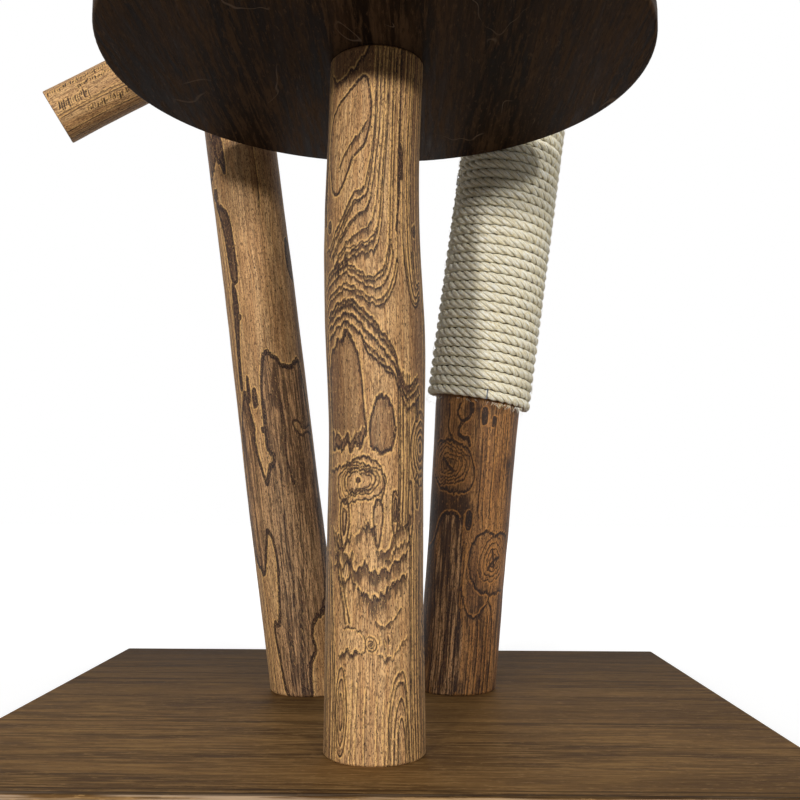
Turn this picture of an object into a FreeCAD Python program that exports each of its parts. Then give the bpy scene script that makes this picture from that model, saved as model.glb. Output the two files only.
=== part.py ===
# Cat scratching post: three natural logs on a wooden board. The upright front log carries a round
# platform, and the two leaning rear logs carry a second platform between their heads. A cut branch
# stands out of the left log, and sisal rope is wound on the right log.
# Millimetres. Origin at the middle of the board's underside, +Z up, +X right, +Y to the back.
import FreeCAD, Part
import math
import os
import Sketcher

Vector = FreeCAD.Vector
Rotation = FreeCAD.Rotation
Placement = FreeCAD.Placement

UP = Vector(0, 0, 1)
SIDEWAYS = Vector(1, 0, 0)
BACKWARDS = Vector(0, 1, 0)

# Every size that can be set by itself. Places on the board are measured from its middle, heights
# from its top face, and leans from the upright (positive to the right).
SIZES = [
    ("base_width", 690.0),
    ("base_depth", 600.0),
    ("base_thickness", 25.0),
    ("base_corner_radius", 4.0),
    ("base_edge_round", 3.0),
    ("platform_thickness", 18.0),
    ("platform_edge_round", 3.0),
    ("lower_platform_diameter", 460.0),
    ("lower_platform_height", 564.0),
    ("lower_platform_rope_clearance", 1.0),
    ("upper_platform_diameter", 540.0),
    ("upper_platform_height", 850.0),
    ("log_arris", 1.5),
    ("front_post_x", -0.6),
    ("front_post_y", -195.3),
    ("front_post_lean", 0.0),
    ("left_post_x", -78.0),
    ("left_post_y", 43.7),
    ("left_post_lean", -8.18),
    ("right_post_x", 75.7),
    ("right_post_y", 56.5),
    ("right_post_lower_lean", 4.6),
    ("right_post_upper_lean", 7.8),
    ("wound_part_height", 296.4),
    ("wound_part_radius", 46.0),
    ("wound_part_margin", 3.0),
    ("right_post_head_radius", 45.5),
    ("rope_diameter", 9.6),
    ("rope_pitch", 10.25),
    ("rope_seat_gap", 0.3),
    ("rope_turns_lower", 23.75),
    ("rope_top_clearance", 52.0),
    ("rope_first_angle", 5.0),
    ("branch_radius", 30.0),
    ("branch_height", 720.0),
    ("branch_reach", 210.0),
    ("branch_drop_angle", 31.8),
    ("branch_forward_angle", 7.6),
    ("branch_socket_depth", 18.0),
    ("branch_socket_clearance", 0.3),
    ("branch_arris", 1.0),
    ("coach_screw_diameter", 10.0),
    ("coach_screw_length", 100.0),
    ("coach_screw_head_width", 17.0),
    ("coach_screw_head_height", 6.4),
    ("washer_diameter", 24.0),
    ("washer_thickness", 2.0),
    ("counterbore_clearance", 1.0),
    ("head_recess", 0.6),
    ("wood_screw_diameter", 5.0),
    ("wood_screw_length", 60.0),
    ("wood_screw_head_diameter", 10.0),
    ("wood_screw_head_height", 2.8),
    ("screw_tip_length", 6.0),
    ("screw_hole_clearance", 0.1),
    ("screw_tip_clearance", 2.0),
    ("foot_screw_offset", 22.0),
    ("head_screw_offset", 16.0),
    ("staple_wire_width", 1.2),
    ("staple_wire_thickness", 0.5),
    ("staple_bite", 8.0),
    ("staple_clearance", 0.05),
]

# The logs' natural form: (share of the log's length, drift off its straight axis, radius).
FRONT_POST_FORM = [
    (0.00, 0.0, 40.7),
    (0.28, -0.8, 39.3),
    (0.45, -0.2, 39.4),
    (0.58, -1.6, 41.4),
    (0.76, -5.2, 40.0),
    (0.92, -3.4, 39.2),
    (1.00, -2.0, 39.4),
]
LEFT_POST_FORM = [
    (0.00, 0.0, 39.8),
    (0.22, -0.9, 39.0),
    (0.45, 0.7, 38.8),
    (0.72, 0.5, 38.6),
    (1.00, 0.0, 38.2),
]
# The right log below its wound part.
RIGHT_POST_FORM = [
    (0.00, 0.0, 41.6),
    (0.40, 0.6, 42.6),
    (0.80, 0.4, 44.4),
]
FORMS = {
    "front_post": FRONT_POST_FORM,
    "left_post": LEFT_POST_FORM,
    "right_post": RIGHT_POST_FORM,
}

doc = FreeCAD.newDocument("cat_scratching_post")
sheet = doc.addObject("Spreadsheet::Sheet", "Sizes")


def write_sheet():
    """Put every size, and the three numbers of every station of a log, in a cell with an alias."""
    rows = list(SIZES)
    for log, form in FORMS.items():
        for i, (share, drift, radius) in enumerate(form):
            rows.append((f"{log}_share_{i}", share))
            rows.append((f"{log}_drift_{i}", drift))
            rows.append((f"{log}_radius_{i}", radius))
    for row, (alias, value) in enumerate(rows, start=1):
        sheet.set(f"A{row}", alias)
        sheet.set(f"B{row}", str(value))
        sheet.setAlias(f"B{row}", alias)
    doc.recompute()


def size(alias):
    """The number in the cell with this alias."""
    return float(sheet.get(alias))


def origin_plane(body, role):
    """One of a body's own three planes."""
    return [plane for plane in body.Origin.OriginFeatures if plane.Role == role][0]


def new_body(label):
    body = doc.addObject("PartDesign::Body", label)
    body.Label = label
    return body


def new_sketch(body, name, role="XY_Plane", offset=None, tilt=None):
    """A sketch on one of the body's planes, moved by three expressions and tilted about the Y axis."""
    sketch = body.newObject("Sketcher::SketchObject", name)
    sketch.AttachmentSupport = [(origin_plane(body, role), "")]
    sketch.MapMode = "FlatFace"
    if offset:
        sketch.AttachmentOffset = Placement(Vector(0, 0, 0), Rotation(BACKWARDS, 0))
        for axis, expression in zip("xyz", offset):
            sketch.setExpression(f"AttachmentOffset.Base.{axis}", expression)
        if tilt:
            sketch.setExpression("AttachmentOffset.Rotation.Angle", tilt)
    return sketch


def constrain(sketch, constraint, name, expression):
    """Add a constraint and tie its value to the sheet."""
    index = sketch.addConstraint(constraint)
    sketch.renameConstraint(index, name)
    sketch.setExpression(f"Constraints.{name}", expression)


def circle(sketch, radius):
    """A circle about the sketch's origin."""
    i = sketch.addGeometry(Part.Circle(Vector(0, 0, 0), UP, 5.0), False)
    sketch.addConstraint(Sketcher.Constraint("Coincident", i, 3, -1, 1))
    constrain(sketch, Sketcher.Constraint("Radius", i, 5.0), f"radius_{i}", radius)


def polygon(sketch, corners):
    """A closed outline whose corners are pairs of expressions, measured from the sketch's origin."""
    count = len(corners)
    guess = [Vector(10 * math.cos(k * math.tau / count), 10 * math.sin(k * math.tau / count), 0)
             for k in range(count)]
    for k in range(count):
        sketch.addGeometry(Part.LineSegment(guess[k], guess[(k + 1) % count]), False)
    for k in range(count):
        sketch.addConstraint(Sketcher.Constraint("Coincident", k, 2, (k + 1) % count, 1))
    for k, (x, y) in enumerate(corners):
        constrain(sketch, Sketcher.Constraint("DistanceX", -1, 1, k, 1, guess[k].x), f"x_{k}", x)
        constrain(sketch, Sketcher.Constraint("DistanceY", -1, 1, k, 1, guess[k].y), f"y_{k}", y)


def pad(body, sketch, length, name="Pad"):
    feature = body.newObject("PartDesign::Pad", name)
    feature.Profile = sketch
    feature.setExpression("Length", length)
    return feature


def revolve(body, sketch, name="Revolution"):
    """A full turn of a profile about its sketch's vertical axis."""
    feature = body.newObject("PartDesign::Revolution", name)
    feature.Profile = sketch
    feature.ReferenceAxis = (sketch, ["V_Axis"])
    feature.Angle = 360.0
    return feature


def loft(body, sections, straight=False, name="Loft"):
    feature = body.newObject("PartDesign::AdditiveLoft", name)
    feature.Profile = sections[0]
    feature.Sections = sections[1:]
    feature.Ruled = straight
    return feature


def round_edges(body, wanted, radius, name="Rounding"):
    """Round the edges of the body's last feature that the test picks."""
    doc.recompute()
    base = body.Tip
    names = [f"Edge{i}" for i, edge in enumerate(base.Shape.Edges, start=1) if wanted(edge)]
    feature = body.newObject("PartDesign::Fillet", name)
    feature.Base = (base, names)
    feature.setExpression("Radius", radius)
    return feature


def is_level(edge, *heights):
    """True for an edge that lies wholly at one of these heights."""
    box = edge.BoundBox
    return any(abs(box.ZMin - z) < 0.01 and abs(box.ZMax - z) < 0.01 for z in heights)


def is_upright(edge):
    box = edge.BoundBox
    return box.ZLength > 1.0 and box.XLength < 0.01 and box.YLength < 0.01


def group(label, template, places):
    """The template at each place, as one compound of separate solids. A place is three expressions
    for the position and a rotation."""
    links = []
    for i, (position, rotation) in enumerate(places):
        link = doc.addObject("App::Link", f"{label}_{i}")
        link.LinkedObject = template
        link.Placement = Placement(Vector(0, 0, 0), rotation)
        for axis, expression in zip("xyz", position):
            link.setExpression(f"Placement.Base.{axis}", expression)
        links.append(link)
    compound = doc.addObject("Part::Compound", label)
    compound.Links = links
    compound.Label = label
    return compound


def cut(label, base, *tools):
    """The base less each of the tools, which must all bite into it."""
    for i, tool in enumerate(tools):
        result = doc.addObject("Part::Cut", f"{label}_cut_{i}")
        result.Base = base
        result.Tool = tool
        doc.recompute()
        if result.Shape.Volume > base.Shape.Volume - 1.0:
            raise RuntimeError(f"{label}: {tool.Label} removes nothing")
        base = result
    base.Label = label
    return base


# ---- Boards -----------------------------------------------------------------------------------


def base_board():
    """The board before its screw holes, with softened corners and arrises."""
    body = new_body("base_board_blank")
    sketch = new_sketch(body, "Outline")
    half_w = "Sizes.base_width / 2"
    half_d = "Sizes.base_depth / 2"
    polygon(sketch, [
        (half_w, half_d),
        (f"-{half_w}", half_d),
        (f"-{half_w}", f"-{half_d}"),
        (half_w, f"-{half_d}"),
    ])
    pad(body, sketch, "Sizes.base_thickness")
    round_edges(body, is_upright, "Sizes.base_corner_radius", "Corners")
    top = size("base_thickness")
    round_edges(body, lambda edge: is_level(edge, 0, top), "Sizes.base_edge_round", "Arrises")
    return body


def platform(label, diameter, x, y, height):
    """A round board with its underside at this height above the base board."""
    body = new_body(label)
    sketch = new_sketch(body, "Outline")
    circle(sketch, f"{diameter} / 2")
    pad(body, sketch, "Sizes.platform_thickness")
    top = size("platform_thickness")
    round_edges(body, lambda edge: is_level(edge, 0, top), "Sizes.platform_edge_round", "Rim")
    body.setExpression("Placement.Base.x", x)
    body.setExpression("Placement.Base.y", y)
    body.setExpression("Placement.Base.z", f"Sizes.base_thickness + {height}")
    return body


# ---- Logs -------------------------------------------------------------------------------------


def run(lean, height):
    """How far a log that leans this much has gone sideways at a height."""
    return f"tan(Sizes.{lean} * 1 deg) * ({height})"


def stand_on_board(body, log):
    """Put the foot of a log at its place on the board."""
    body.setExpression("Placement.Base.x", f"Sizes.{log}_x")
    body.setExpression("Placement.Base.y", f"Sizes.{log}_y")
    body.setExpression("Placement.Base.z", "Sizes.base_thickness")


def level_section(body, name, sideways, height, radius):
    """A level circle of a log, this far sideways and up from the middle of its foot."""
    sketch = new_sketch(body, name, offset=(sideways, "0", height))
    circle(sketch, radius)
    return sketch


def station(body, log, i, top, lean):
    """The level section of a log at its station i. The stations are spread from the foot's arris
    to the top."""
    height = f"Sizes.log_arris + Sizes.{log}_share_{i} * ({top} - Sizes.log_arris)"
    sideways = f"Sizes.{log}_drift_{i} + {run(lean, height)}"
    return level_section(body, f"Station_{i}", sideways, height, f"Sizes.{log}_radius_{i}")


def foot_arris(body, log, first_station):
    """The small bevel between a log's foot and its first station."""
    foot = level_section(body, "Foot", f"Sizes.{log}_drift_0", "0", f"Sizes.{log}_radius_0 - Sizes.log_arris")
    return loft(body, [foot, first_station], straight=True, name="Foot_arris")


def plain_log(log, length, lean):
    """A log sawn level at both ends, lofted through its stations, before its screw holes."""
    body = new_body(f"{log}_blank")
    last = len(FORMS[log]) - 1
    top = f"({length} - Sizes.log_arris)"
    sections = [station(body, log, i, top, lean) for i in range(last + 1)]
    head = level_section(body, "Head", f"Sizes.{log}_drift_{last} + {run(lean, length)}", length,
                         f"Sizes.{log}_radius_{last} - Sizes.log_arris")
    foot_arris(body, log, sections[0])
    loft(body, sections, name="Log")
    loft(body, [sections[-1], head], straight=True, name="Head_arris")
    stand_on_board(body, log)
    return body


# The straight, true-round part of the right log that the rope is wound on. It starts at the log's
# bend and ends a clearance below the upper platform, measured along its own leaning axis.
WOUND_START = "Sizes.wound_part_height"
WOUND_LENGTH = (
    f"(Sizes.upper_platform_height - {WOUND_START}) / cos(Sizes.right_post_upper_lean * 1 deg)"
    " - Sizes.rope_top_clearance"
)
WOUND_FOOT_X = run("right_post_lower_lean", WOUND_START)
WOUND_RISE = f"cos(Sizes.right_post_upper_lean * 1 deg) * ({WOUND_LENGTH})"
WOUND_RUN = f"sin(Sizes.right_post_upper_lean * 1 deg) * ({WOUND_LENGTH})"


def right_log_x(height):
    """How far the right log's axis has gone sideways at a height above its bend."""
    return f"{WOUND_FOOT_X} + " + run("right_post_upper_lean", f"{height} - {WOUND_START}")


def right_log():
    """The right log: a natural lower part, the straight wound part, and a short head."""
    body = new_body("right_post_blank")
    lean = "Sizes.right_post_upper_lean"
    top = "Sizes.upper_platform_height"
    shoulder = f"{top} - Sizes.log_arris"
    stations = [station(body, "right_post", i, WOUND_START, "right_post_lower_lean")
                for i in range(len(RIGHT_POST_FORM))]
    wound_foot = new_sketch(body, "Wound_foot", offset=(WOUND_FOOT_X, "0", WOUND_START), tilt=lean)
    circle(wound_foot, "Sizes.wound_part_radius")
    wound_head = new_sketch(body, "Wound_head", tilt=lean, offset=(
        f"{WOUND_FOOT_X} + {WOUND_RUN}", "0", f"{WOUND_START} + {WOUND_RISE}"))
    circle(wound_head, "Sizes.wound_part_radius")
    neck = level_section(body, "Neck", right_log_x(shoulder), shoulder, "Sizes.right_post_head_radius")
    head = level_section(body, "Head", right_log_x(top), top,
                         "Sizes.right_post_head_radius - Sizes.log_arris")
    foot_arris(body, "right_post", stations[0])
    loft(body, stations + [wound_foot], name="Lower_part")
    loft(body, [wound_foot, wound_head], straight=True, name="Wound_part")
    loft(body, [wound_head, neck], straight=True, name="Upper_part")
    loft(body, [neck, head], straight=True, name="Head_arris")
    stand_on_board(body, "right_post")
    return body


# ---- Branch -----------------------------------------------------------------------------------


def branch_direction():
    """The unit vector along the branch, from the left log out to its free end."""
    drop = math.radians(size("branch_drop_angle"))
    forward = math.radians(size("branch_forward_angle"))
    level = math.cos(drop)
    return Vector(-level * math.cos(forward), -level * math.sin(forward), -math.sin(drop))


def branch_root():
    """The point where the branch's axis meets the left log's axis."""
    height = size("branch_height")
    sideways = math.tan(math.radians(size("left_post_lean"))) * height
    return Vector(size("left_post_x") + sideways, size("left_post_y"), size("base_thickness") + height)


def along_branch(distance):
    """A placement on the branch's axis whose Z axis points to the free end."""
    direction = branch_direction()
    return Placement(branch_root() + direction * distance, Rotation(UP, direction))


def branch_seat():
    """Distance from the left log's axis to the flat bottom of the branch's socket."""
    return size("left_post_radius_3") - size("branch_socket_depth")


def side_branch_blank():
    body = new_body("side_branch_blank")
    sketch = new_sketch(body, "Outline")
    circle(sketch, "Sizes.branch_radius")
    length = "Sizes.branch_reach - Sizes.left_post_radius_3 + Sizes.branch_socket_depth"
    pad(body, sketch, length)
    doc.recompute()
    free_end = body.Tip.Length.Value
    round_edges(body, lambda edge: is_level(edge, free_end), "Sizes.branch_arris", "Arris")
    body.Placement = along_branch(branch_seat())
    return body


def socket_cutter():
    """What the bored socket for the branch takes out of the left log."""
    cylinder = doc.addObject("Part::Cylinder", "branch_socket")
    cylinder.setExpression("Radius", "Sizes.branch_radius + Sizes.branch_socket_clearance")
    cylinder.setExpression("Height", "Sizes.branch_reach")
    cylinder.Placement = along_branch(branch_seat())
    return cylinder


# ---- Fasteners, each drawn with its head's outer face at the origin and its tip pointing down ----


def wood_screw():
    """A countersunk wood screw."""
    body = new_body("wood_screw")
    sketch = new_sketch(body, "Profile", role="XZ_Plane")
    shank = "Sizes.wood_screw_diameter / 2"
    polygon(sketch, [
        ("0", "0"),
        ("0", "-Sizes.wood_screw_length"),
        (shank, "-(Sizes.wood_screw_length - Sizes.screw_tip_length)"),
        (shank, "-Sizes.wood_screw_head_height"),
        ("Sizes.wood_screw_head_diameter / 2", "0"),
    ])
    revolve(body, sketch)
    return body


def wood_screw_hole():
    """The countersunk hole for a wood screw, through the board and into the log."""
    body = new_body("wood_screw_hole")
    sketch = new_sketch(body, "Profile", role="XZ_Plane")
    gap = "Sizes.screw_hole_clearance"
    shank = f"Sizes.wood_screw_diameter / 2 + {gap}"
    rim = f"Sizes.wood_screw_head_diameter / 2 + {gap}"
    tip = "Sizes.wood_screw_length + Sizes.screw_tip_clearance"
    polygon(sketch, [
        ("0", "1"),
        ("0", f"-({tip})"),
        (shank, f"-({tip} - Sizes.screw_tip_length)"),
        (shank, f"-(Sizes.wood_screw_head_height + {gap})"),
        (rim, f"-{gap}"),
        (rim, "1"),
    ])
    revolve(body, sketch)
    return body


def coach_screw():
    """A hexagon-headed coach screw."""
    body = new_body("coach_screw")
    profile = new_sketch(body, "Profile", role="XZ_Plane")
    shank = "Sizes.coach_screw_diameter / 2"
    under_head = "Sizes.coach_screw_head_height"
    polygon(profile, [
        ("0", f"-{under_head} / 2"),
        ("0", f"-({under_head} + Sizes.coach_screw_length)"),
        (shank, f"-({under_head} + Sizes.coach_screw_length - Sizes.screw_tip_length)"),
        (shank, f"-{under_head} / 2"),
    ])
    revolve(body, profile)
    doc.recompute()
    head = new_sketch(body, "Head", offset=("0", "0", f"-{under_head}"))
    corner = "Sizes.coach_screw_head_width / 2 / cos(30 deg)"
    polygon(head, [(f"{corner} * cos({60 * k} deg)", f"{corner} * sin({60 * k} deg)") for k in range(6)])
    pad(body, head, under_head)
    return body


def coach_screw_hole():
    """The counterbored hole for a coach screw and its washer. It starts at the board's face, a
    recess above the screw's head."""
    body = new_body("coach_screw_hole")
    sketch = new_sketch(body, "Profile", role="XZ_Plane")
    gap = "Sizes.screw_hole_clearance"
    shank = f"Sizes.coach_screw_diameter / 2 + {gap}"
    bore = "Sizes.washer_diameter / 2 + Sizes.counterbore_clearance"
    floor = "Sizes.coach_screw_head_height + Sizes.washer_thickness"
    tip = "Sizes.coach_screw_head_height + Sizes.coach_screw_length + Sizes.screw_tip_clearance"
    mouth = "Sizes.coach_screw_length / 2"
    polygon(sketch, [
        ("0", mouth),
        ("0", f"-({tip})"),
        (shank, f"-({tip} - Sizes.screw_tip_length)"),
        (shank, f"-({floor})"),
        (bore, f"-({floor})"),
        (bore, mouth),
    ])
    revolve(body, sketch)
    return body


def washer():
    """The washer under a coach screw's head, drawn in place below it."""
    body = new_body("washer")
    sketch = new_sketch(body, "Ring", offset=(
        "0", "0", "-(Sizes.coach_screw_head_height + Sizes.washer_thickness)"))
    circle(sketch, "Sizes.washer_diameter / 2")
    circle(sketch, "Sizes.coach_screw_diameter / 2 + Sizes.screw_hole_clearance")
    pad(body, sketch, "Sizes.washer_thickness")
    return body


UPRIGHT = Rotation()
TURNED_OVER = Rotation(SIDEWAYS, 180)


def foot_centres():
    """A coach screw up through the board into each log's foot."""
    recess = "Sizes.head_recess"
    return [((f"Sizes.{log}_x", f"Sizes.{log}_y", recess), TURNED_OVER) for log in FORMS]


def foot_sides():
    """Two wood screws beside each coach screw, which keep the log from turning."""
    places = []
    for log in FORMS:
        for side in ("-", "+"):
            y = f"Sizes.{log}_y {side} Sizes.foot_screw_offset"
            places.append(((f"Sizes.{log}_x", y, "0"), TURNED_OVER))
    return places


def head_corners(x, y, height):
    """Four wood screws down through a platform into a log's head."""
    top = f"Sizes.base_thickness + {height} + Sizes.platform_thickness"
    reach = "Sizes.head_screw_offset"
    return [((f"{x} {a} {reach}", f"{y} {b} {reach}", top), UPRIGHT) for a in "+-" for b in "+-"]


# ---- Rope -------------------------------------------------------------------------------------
# Everything here is drawn about the wound part's own axis, with its foot at the origin, and is then
# placed on the leaning log.

END_QUARTER = 0.25  # turns from each end of a length of rope to its staple, where it lies on the wood


def wound_part_placement():
    height = size("wound_part_height")
    sideways = math.tan(math.radians(size("right_post_lower_lean"))) * height
    foot = Vector(size("right_post_x") + sideways, size("right_post_y"), size("base_thickness") + height)
    return Placement(foot, Rotation(BACKWARDS, size("right_post_upper_lean")))


def rope_turns():
    """The turns of both lengths together: as many whole turns as the wound part has room for, and
    half a turn, above the joint."""
    rise = size("upper_platform_height") - size("wound_part_height")
    length = rise / math.cos(math.radians(size("right_post_upper_lean"))) - size("rope_top_clearance")
    room = length - size("rope_diameter") - 2 * size("wound_part_margin")
    joint = size("rope_turns_lower")
    return joint + math.floor(room / size("rope_pitch") - joint + 0.5) - 0.5


def rope_axis_radius():
    """Radius of the rope's centre line about the log's axis."""
    return size("wound_part_radius") + size("rope_seat_gap") + size("rope_diameter") / 2


def rope_point(turns):
    """The rope's centre after this many turns from its lower end. Seen from above it winds
    clockwise as it climbs."""
    angle = math.radians(size("rope_first_angle")) - math.tau * turns
    radius = rope_axis_radius()
    height = size("wound_part_margin") + size("rope_diameter") / 2 + size("rope_pitch") * turns
    return Vector(radius * math.cos(angle), radius * math.sin(angle), height)


def rope_direction(turns):
    angle = math.radians(size("rope_first_angle")) - math.tau * turns
    radius = rope_axis_radius()
    climb = size("rope_pitch") / math.tau
    return Vector(radius * math.sin(angle), -radius * math.cos(angle), climb).normalize()


def arc(start, tangent, end):
    """The arc from start to end that leaves start along the tangent."""
    chord = end - start
    along = Vector(chord).normalize()
    half_turn = tangent.getAngle(along)
    towards_middle = (tangent + along).normalize()
    middle = start + towards_middle * (chord.Length / 2 / math.cos(half_turn / 2))
    return Part.Arc(start, middle, end).toShape()


def biarc(start, start_tangent, end, end_tangent):
    """Two arcs that join two points, and each other, without a kink."""
    gap = end - start
    both = start_tangent + end_tangent
    a = 4 - both.dot(both)
    b = gap.dot(both)
    reach = (-b + math.sqrt(b * b + a * gap.dot(gap))) / a
    joint = (start + start_tangent * reach + end - end_tangent * reach) * 0.5
    joint_tangent = ((end - end_tangent * reach) - (start + start_tangent * reach)).normalize()
    return [arc(start, start_tangent, joint), arc(joint, joint_tangent, end)]


def rope_path(first, last):
    """The centre line between two counts of turns. A straight run of one rope diameter at each end
    touches the winding at a joint's end face, and at the middle of the run at a free end. Biarcs of
    a quarter turn follow the runs, and biarcs of about half a turn fill the rest."""
    run_length = size("rope_diameter")
    start_overhang = run_length / 2 if first == 0 else 0
    end_overhang = run_length / 2 if first > 0 else 0
    start_tangent = rope_direction(first)
    end_tangent = rope_direction(last)
    start = rope_point(first) - start_tangent * start_overhang
    end = rope_point(last) + end_tangent * end_overhang
    inner_start = start + start_tangent * run_length
    inner_end = end - end_tangent * run_length
    span = last - first - 2 * END_QUARTER
    halves = round(span * 2)
    turns = [first + END_QUARTER + span * k / halves for k in range(halves + 1)]
    knots = [(inner_start, start_tangent)]
    knots += [(rope_point(turn), rope_direction(turn)) for turn in turns]
    knots += [(inner_end, end_tangent)]
    edges = [Part.makeLine(start, inner_start)]
    for (p, t), (q, u) in zip(knots, knots[1:]):
        edges += biarc(p, t, q, u)
    edges += [Part.makeLine(inner_end, end)]
    return Part.Wire(edges)


def least_gap(path, diameter):
    """The least distance between two turns of a tube on this path, measured on points."""
    spacing = diameter / 4
    points = path.discretize(Distance=spacing)
    skip = int(rope_axis_radius() * math.pi / spacing)
    reach = int(rope_axis_radius() * 3 * math.pi / spacing)
    least = min(
        points[i].distanceToPoint(points[j])
        for i in range(0, len(points), 2)
        for j in range(i + skip, min(i + reach, len(points)))
    )
    return least - diameter


def rope_length(label, first, last):
    """One length of rope as an unbroken tube."""
    diameter = size("rope_diameter")
    path = rope_path(first, last)
    beginning = path.Edges[0]
    ring = Part.makeCircle(diameter / 2, beginning.valueAt(beginning.FirstParameter), rope_direction(first))
    shell = Part.BRepOffsetAPI.MakePipeShell(path)
    shell.add(Part.Wire(ring))
    shell.build()
    shell.makeSolid()
    rope = doc.addObject("Part::Feature", label)
    rope.Label = label
    rope.Shape = shell.shape()
    rope.Placement = wound_part_placement()
    expected = math.pi * (diameter / 2) ** 2 * path.Length
    print(f"{label}: {path.Length:.0f} mm of rope, least gap {least_gap(path, diameter):.3f} mm, "
          f"volume {rope.Shape.Volume / expected:.4f} of section times length")
    return rope


def staple(label, clearance):
    """A flat-wire staple over one turn of rope. Its crown lies on the rope, which runs along Y, its
    legs point along -X into the log, and the origin is at the rope's centre."""
    thickness = f"Sizes.staple_wire_thickness + 2 * {clearance}"
    width = f"Sizes.staple_wire_width + 2 * {clearance}"
    inside = f"Sizes.rope_diameter / 2 + Sizes.staple_clearance - {clearance}"
    leg_length = f"Sizes.rope_diameter + Sizes.rope_seat_gap + Sizes.staple_bite + {clearance}"
    crown = doc.addObject("Part::Box", f"{label}_crown")
    crown.setExpression("Length", thickness)
    crown.setExpression("Width", width)
    crown.setExpression("Height", f"2 * ({inside} + {thickness})")
    crown.setExpression("Placement.Base.x", inside)
    crown.setExpression("Placement.Base.y", f"-({width}) / 2")
    crown.setExpression("Placement.Base.z", f"-({inside} + {thickness})")
    pieces = [crown]
    for side, foot in (("upper", inside), ("lower", f"-({inside} + {thickness})")):
        leg = doc.addObject("Part::Box", f"{label}_{side}_leg")
        leg.setExpression("Length", leg_length)
        leg.setExpression("Width", width)
        leg.setExpression("Height", thickness)
        leg.setExpression("Placement.Base.x", f"{inside} + {thickness} - ({leg_length})")
        leg.setExpression("Placement.Base.y", f"-({width}) / 2")
        leg.setExpression("Placement.Base.z", foot)
        pieces.append(leg)
    whole = doc.addObject("Part::MultiFuse", label)
    whole.Shapes = pieces
    return whole


def staple_places():
    """One staple over each end of each length of rope."""
    joint = size("rope_turns_lower")
    last = rope_turns()
    frame = wound_part_placement()
    places = []
    for turns in (END_QUARTER, joint - END_QUARTER, joint + END_QUARTER, last - END_QUARTER):
        centre = rope_point(turns)
        angle = math.degrees(math.atan2(centre.y, centre.x))
        places.append(frame * Placement(centre, Rotation(UP, angle)))
    return places


def place_all(label, template, places):
    """The template at each of these fixed placements, as one compound of separate solids."""
    links = []
    for i, place in enumerate(places):
        link = doc.addObject("App::Link", f"{label}_{i}")
        link.LinkedObject = template
        link.Placement = place
        links.append(link)
    compound = doc.addObject("Part::Compound", label)
    compound.Links = links
    compound.Label = label
    return compound


# ---- The assembly -----------------------------------------------------------------------------

write_sheet()

screw = wood_screw()
screw_hole = wood_screw_hole()
coach = coach_screw()
coach_hole = coach_screw_hole()
ring = washer()
staple_piece = staple("staple", "0")
staple_slot = staple("staple_slot", "Sizes.staple_clearance")
doc.recompute()

front_head_x = (
    f"Sizes.front_post_x + Sizes.front_post_drift_{len(FRONT_POST_FORM) - 1} + "
    + run("front_post_lean", "Sizes.lower_platform_height")
)
left_head_x = (
    f"Sizes.left_post_x + Sizes.left_post_drift_{len(LEFT_POST_FORM) - 1} + "
    + run("left_post_lean", "Sizes.upper_platform_height")
)
right_head_x = "Sizes.right_post_x + " + right_log_x("Sizes.upper_platform_height")
lower_places = head_corners(front_head_x, "Sizes.front_post_y", "Sizes.lower_platform_height")
left_places = head_corners(left_head_x, "Sizes.left_post_y", "Sizes.upper_platform_height")
right_places = head_corners(right_head_x, "Sizes.right_post_y", "Sizes.upper_platform_height")

base_coach_screws = group("base_coach_screws", coach, foot_centres())
base_washers = group("base_washers", ring, foot_centres())
base_side_screws = group("base_side_screws", screw, foot_sides())
lower_platform_screws = group("lower_platform_screws", screw, lower_places)
upper_platform_screws = group("upper_platform_screws", screw, left_places + right_places)
foot_bores = group("foot_bores", coach_hole, foot_centres())
foot_side_holes = group("foot_side_holes", screw_hole, foot_sides())
lower_head_holes = group("lower_head_holes", screw_hole, lower_places)
upper_head_holes = group("upper_head_holes", screw_hole, left_places + right_places)

# The branch's coach screw comes through the left log from its far side. Its head's outer face is
# this far beyond the log's axis, so that the wood between its washer and the branch's seat is as
# thick as the seat is far from the axis, twice.
branch_head = branch_seat() + size("washer_thickness") + size("coach_screw_head_height")
branch_screw_place = [along_branch(-branch_head)]
branch_screw_place = [place * Placement(Vector(0, 0, 0), TURNED_OVER) for place in branch_screw_place]
branch_coach_screw = place_all("branch_coach_screw", coach, branch_screw_place)
branch_washer = place_all("branch_washer", ring, branch_screw_place)
branch_bore = place_all("branch_bore", coach_hole, branch_screw_place)

rope_joint = size("rope_turns_lower")
rope_lower_length = rope_length("rope_lower_length", 0, rope_joint)
rope_upper_length = rope_length("rope_upper_length", rope_joint, rope_turns())
rope_staples = place_all("rope_staples", staple_piece, staple_places())
staple_slots = place_all("staple_slots", staple_slot, staple_places())

# The lower platform lies as far forward as its rim needs to clear the rope on the right log.
winding_radius = (
    "(Sizes.wound_part_radius + Sizes.rope_seat_gap + Sizes.rope_diameter)"
    " / cos(Sizes.right_post_upper_lean * 1 deg)"
)
apart = f"Sizes.lower_platform_diameter / 2 + {winding_radius} + Sizes.lower_platform_rope_clearance"
apart_sideways = "Sizes.right_post_x + " + right_log_x("Sizes.lower_platform_height") + f" - ({front_head_x})"
lower_platform_y = f"Sizes.right_post_y - sqrt(({apart})^2 - ({apart_sideways})^2)"
lower_blank = platform("lower_platform_blank", "Sizes.lower_platform_diameter", front_head_x,
                       lower_platform_y, "Sizes.lower_platform_height")
upper_blank = platform("upper_platform_blank", "Sizes.upper_platform_diameter",
                       f"({left_head_x} + {right_head_x}) / 2",
                       "(Sizes.left_post_y + Sizes.right_post_y) / 2", "Sizes.upper_platform_height")

front_blank = plain_log("front_post", "Sizes.lower_platform_height", "front_post_lean")
left_blank = plain_log("left_post", "Sizes.upper_platform_height", "left_post_lean")

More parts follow.
